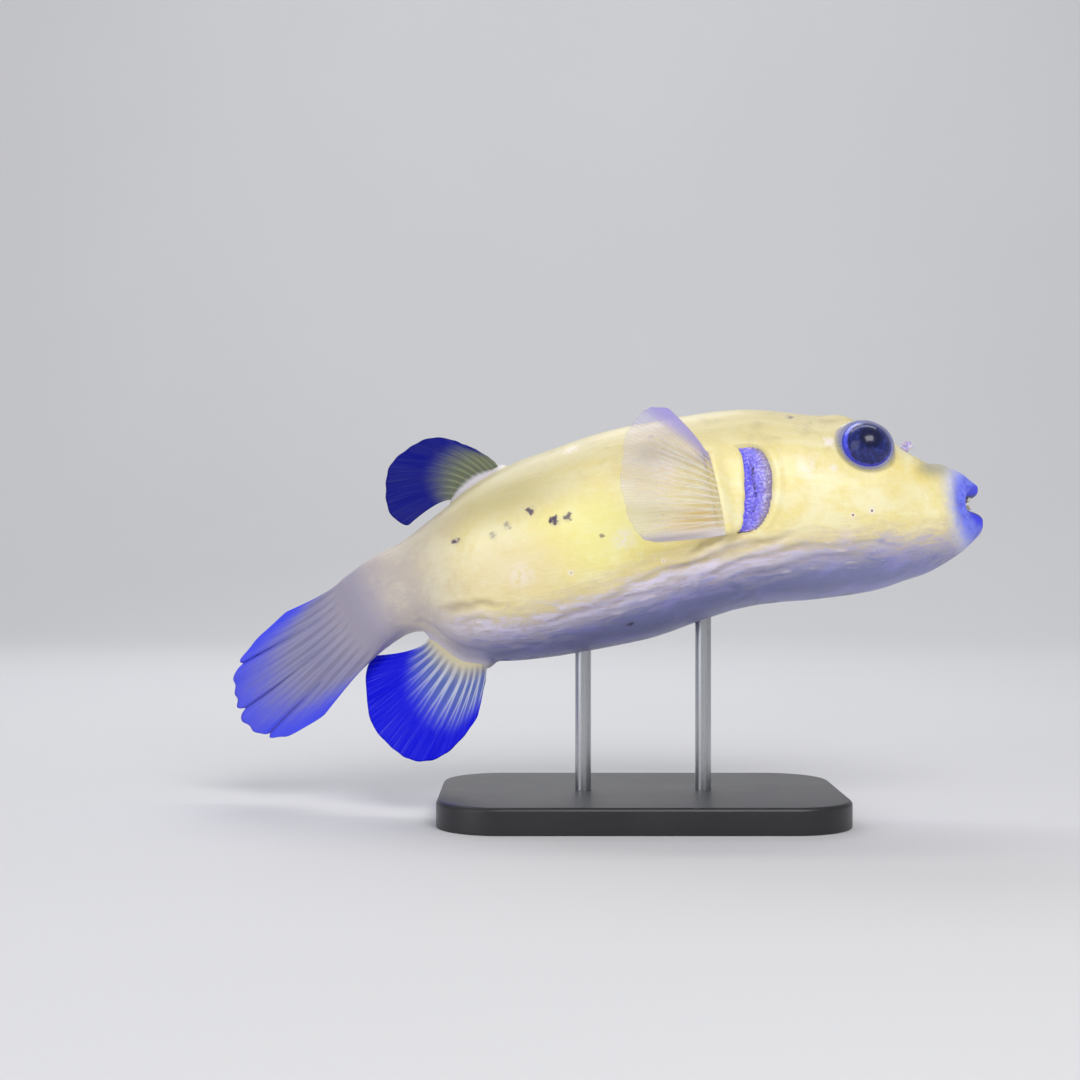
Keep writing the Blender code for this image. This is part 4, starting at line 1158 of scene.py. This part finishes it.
def eye_look():
    """Deep blue eye: a dark pupil, a flecked iris and a bright rim, broadest above and behind."""
    look = Look("eye", Coat_Weight=0.4, Coat_Roughness=0.12, Specular_IOR_Level=0.25)
    gaze = look.attribute("gaze")
    fore, over = look.parts(gaze)[:2]
    apart = look.node("ShaderNodeVectorMath", "Value", {0: gaze}, operation="LENGTH")
    fleck = look.noise(gaze, 8.0, 3.0, 0.5)
    fibre = look.noise(gaze, 4.0, 4.0, 0.6, 0.8)
    iris = look.mix(fleck.smooth(0.42, 0.64), (26, 32, 96), (38, 50, 126))
    iris = iris.tint(fibre.smooth(0.55, 0.72) * 0.5, 58, 70, 132)
    ragged = apart + (fleck - 0.5) * 0.1
    tint = look.mix(ragged.smooth(0.2, 0.34), (15, 19, 62), iris)
    lean = fore * -0.17 + over * 0.15
    leaning = ragged + lean
    vivid = look.mix(fibre.smooth(0.4, 0.6), (52, 60, 230), (84, 94, 252))
    tint = look.mix(leaning.smooth(0.62, 0.72), tint, vivid)
    tint = tint.tint(ragged.smooth(0.63, 0.72), 72, 78, 210)
    tint = tint.tint(apart.smooth(0.76, 0.86), 74, 84, 160)
    return look.finish(Base_Color=tint, Roughness=0.18 + fleck * 0.15)


def gill_look():
    """Moist membrane: a greyish lilac band of painted shade in front, dark flecks along the rim, painted
    shade along the slit, and a violet blue rest.
    """
    look = Look("gill membrane", Subsurface_Weight=0.2, Subsurface_Scale=0.001, Coat_Weight=0.6,
                Coat_Roughness=0.14)
    share, height, pleat = look.parts(look.attribute("gill"))
    fish = look.attribute("fish")
    fine = look.noise(fish, 0.7, 4.0, 0.6)
    grain = look.noise(fish, 2.0, 3.0, 0.6)
    tint = look.mix(fine.smooth(0.35, 0.65), (124, 112, 246), (156, 146, 255))
    # painted shade: the greyish lilac band in front
    front = (share + fine * 0.5).smooth(0.75, 0.45)
    grey = look.mix(grain.smooth(0.4, 0.6), (146, 134, 178), (184, 172, 212))
    tint = look.mix(front, tint, grey)
    tint = tint.tint(share.smooth(GILL_SLIT + 0.05, GILL_SLIT + 0.2), 104, 96, 250)
    tint = tint.tint(pleat.smooth(0.35, 0.0) * 0.4, 190, 182, 252)
    tint = tint.tint(pleat.smooth(0.7, 1.0) * 0.35, 84, 70, 178)
    # painted shade: a dark line along the slit where the two lips meet
    middle = GILL_SLIT + look.math("SINE", height * 5.0) * 0.05
    slit = abs(share - middle)
    slit = slit + (grain - 0.5) * 0.16
    slit = slit.smooth(0.08, 0.01) * fine.smooth(0.46, 0.52)
    slit = slit * abs(height).smooth(0.75, 0.5)
    tint = tint.tint(slit * 0.9, 30, 20, 84)
    flecks = share.smooth(0.34, 0.02) * grain.smooth(0.46, 0.54)
    tint = tint.tint(flecks * 0.8, 84, 68, 104)
    return look.finish(Base_Color=tint, Roughness=0.25 + fine * 0.2, Normal=look.bump(grain, 0.0001, 0.7))


def flesh_look():
    look = Look("nostril flesh", Roughness=0.4, Subsurface_Weight=0.3, Subsurface_Scale=0.001,
                Coat_Weight=0.3, Coat_Roughness=0.2)
    place_of = look.attribute("fish")
    fine = look.noise(place_of, 0.5, 3.0, 0.5)
    tint = look.mix(fine.smooth(0.35, 0.65), (172, 164, 222), (214, 206, 240))
    return look.finish(Base_Color=tint, Normal=look.bump(fine, 0.0001, 0.6))


def tooth_look():
    look = Look("tooth", Coat_Weight=0.4, Coat_Roughness=0.1, Subsurface_Weight=0.1,
                Subsurface_Scale=0.001)
    where = look.where()
    stain = look.noise(where, 420.0, 4.0, 0.6)
    tint = look.mix(stain.smooth(0.4, 0.7), (240, 234, 214), (206, 192, 156))
    return look.finish(Base_Color=tint, Roughness=0.2 + stain * 0.2,
                       Normal=look.bump(stain, 0.00008, 0.5))


def base_look():
    look = Look("black paint", Coat_Weight=0.15, Coat_Roughness=0.3)
    where = look.where()
    grain = look.noise(where, 2600.0, 2.0, 0.5)
    cloud = look.noise(where, 40.0, 4.0, 0.6)
    tint = look.mix(cloud, (26, 26, 29), (40, 40, 44))
    rough = 0.34 + cloud * 0.16
    return look.finish(Base_Color=tint, Roughness=rough, Normal=look.bump(grain, 0.00004, 0.8))


def steel_look():
    look = Look("brushed steel", Metallic=1.0)
    where = look.where()
    brushed = look.noise(look.scaled(where, 6000.0, 6000.0, 60.0), 1.0, 3.0, 0.6)
    tint = look.mix(brushed, (168, 170, 174), (206, 207, 210))
    rough = 0.2 + brushed * 0.16
    return look.finish(Base_Color=tint, Roughness=rough, Normal=look.bump(brushed, 0.00002, 0.6))


def stage_look():
    look = Look("studio paper", Roughness=0.85, Specular_IOR_Level=0.2)
    where = look.where()
    cloud = look.noise(where, 3.0, 2.0, 0.5)
    return look.finish(Base_Color=look.mix(cloud, (214, 214, 217), (219, 219, 221)))


def wear(piece, material, slot, *nodes):
    """Gives a piece its material, makes it ride, and lets it replace its nodes. The slot is not used."""
    piece.data.materials.clear()
    piece.data.materials.append(material)
    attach(piece, "root")
    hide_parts(*nodes)


def lamp(name, spot, target, size, energy, tint=(1.0, 1.0, 1.0)):
    data = bpy.data.lights.new(name, "AREA")
    data.shape = "RECTANGLE"
    data.size, data.size_y = size
    data.energy = energy
    data.color = tint
    made = bpy.data.objects.new(name, data)
    made.location = spot
    made.rotation_euler = (Vector(target) - Vector(spot)).to_track_quat("-Z", "Y").to_euler()
    bpy.context.scene.collection.objects.link(made)


def make_stage():
    """A floor that sweeps up into a backdrop."""
    profile = [(-2.2, 0.0), (-0.3, 0.0), (0.5, 0.0), (1.0, 0.0)]
    profile += [(1.0 + 0.9 * math.sin(a), 0.9 * (1 - math.cos(a)))
                for a in np.linspace(0.1, math.pi / 2, 16)]
    profile += [(1.9, 3.2)]
    points = [(x, y, z) for y, z in profile for x in (-3.5, 3.5)]
    faces = [(2 * i, 2 * i + 1, 2 * i + 3, 2 * i + 2) for i in range(len(profile) - 1)]
    floor = mesh_object("backdrop", points, faces, {})
    floor.data.materials.append(stage_look())


def main():
    skin = make_skin()
    wear(skin, skin_look(), "skin_gold", "head", "trunk", "tail_stock")
    dorsal = make_fin("dorsal_fin", *midline_rays(DORSAL_ROOT, DORSAL, DORSAL_RAYS, 1),
                      {**FIN, "thin": (0.10, 0.34), "root": even_root(4.6, 1.8)})
    tints = ((212, 206, 214), (118, 124, 98), (0, 8, 128), (150, 156, 124), (70, 80, 78), (60, 66, 96))
    wear(dorsal, fin_look("dorsal fin", tints, (0.12, 0.26, 0.36, 0.80), 0.035, 0.35), "fin_blue",
         "fin_dorsal")
    anal = make_fin("anal_fin", *midline_rays(ANAL_ROOT, ANAL, ANAL_RAYS, -1),
                    {**FIN, "thin": (0.06, 0.40), "pleat": 0.10, "ridge": 0.38, "ray_width": (0.20, 0.09),
                     "root": even_root(5.0, 2.0)})
    tints = ((232, 222, 186), (104, 122, 200), (0, 4, 226), (224, 227, 230), (66, 80, 136), (80, 80, 100))
    wear(anal, fin_look("anal fin", tints, (0.10, 0.40, 0.36, 0.80), 0.03, 0.65), "fin_blue", "fin_anal")
    caudal = make_fin("caudal_fin", *caudal_rays(),
                      {**FIN, "thin": (0.0, 1.0), "notch": 0.014, "pleat": 0.06, "ridge": 0.24,
                       "ray_width": (0.24, 0.12), "folds": ((2.35, 1.1, 0.14, 0.18), (5.35, 1.1, 0.14, 0.12),
                                                            (7.8, 0.9, 0.12, 0.5)),
                       "root": tail_root, "rows": 84, "foot": False, "thinning": 2.0})
    # the last tint, a dark olive brown, is painted shade in the tail fin's folds
    tints = (TAIL_ROOT, (136, 135, 176), (72, 82, 246), (184, 178, 198), (140, 132, 134), (82, 70, 54))
    wear(caudal, fin_look("caudal fin", tints, (0.12, 0.5, 0.58, 1.12), 0.0, 0.3, 1.0, 0.2), "fin_blue",
         "fin_caudal")
    for name, side, keys in (("right", -1, PECTORAL_RIGHT), ("left", 1, PECTORAL_LEFT)):
        fin = make_fin("pectoral_fin_" + name, *pectoral_rays(keys, side),
                       {**FIN, "per_ray": 10, "thin": (0.0, 0.4), "notch": 0.010, "knee": 0.22,
                        "pleat": 0.05, "wave": 0.9, "ridge": 0.24, "ray_width": (0.20, 0.10),
                        "root": even_root(2.6)})
        tints = ((236, 222, 164), (238, 228, 208), (212, 204, 240), (252, 248, 242), (206, 186, 132),
                 (170, 160, 190))
        wear(fin, fin_look("pectoral fin " + name, tints, (0.02, 0.3, 0.55, 1.0), 0.0, 0.55, 0.24),
             "fin_lilac", "fin_pectoral_" + name)
        wear(make_eye("eyeball_" + name, side), eye_look(), "eye", "eye_" + name)
        wear(make_gill("gill_membrane_" + name, side), gill_look(), "gill", "gill_" + name)
        wear(make_nostril("nostril_tuft_" + name, side), flesh_look(), "skin_lilac", "nostril_" + name)
    teeth = tooth_look()
    for name in ("teeth_upper", "teeth_lower"):
        for slot in bpy.data.objects[name].material_slots:
            slot.material = teeth
    wear(make_base(), base_look(), "stand_black", "stand_base")
    steel = steel_look()
    for name, x in ROD_PLACES.items():
        wear(make_rod(name.replace("stand_", ""), x, skin), steel, "stand_steel", name)


main()
make_stage()

# Camera where the photo was taken from, and soft lights over and before the fish
camera = bpy.data.objects.new("camera", bpy.data.cameras.new("camera"))
camera.data.lens = 60.0
camera.data.sensor_width = 36.0
camera.location = (-0.0325, -0.585, 0.0894)
camera.rotation_euler = (math.radians(90.0), 0.0, 0.0)
bpy.context.scene.collection.objects.link(camera)
bpy.context.scene.camera = camera

FISH = (0.0, 0.0, 0.10)
lamp("key", (0.25, -0.85, 0.80), FISH, (0.7, 0.5), 7.6, (1.0, 0.985, 0.96))
lamp("fill", (-0.75, -0.60, 0.30), FISH, (0.6, 0.6), 1.9, (0.94, 0.96, 1.0))
lamp("back", (-0.25, 0.65, 0.75), FISH, (0.8, 0.4), 2.4, (0.96, 0.97, 1.0))
lamp("backdrop", (0.0, 0.80, 1.9), (0.0, 1.9, 0.4), (2.4, 0.4), 17.0)
world = bpy.data.worlds.new("studio")
world.use_nodes = True
world.node_tree.nodes["Background"].inputs["Color"].default_value = (0.86, 0.88, 0.92, 1.0)
world.node_tree.nodes["Background"].inputs["Strength"].default_value = 0.36
bpy.context.scene.world = world
bpy.context.scene.view_settings.view_transform = "Standard"
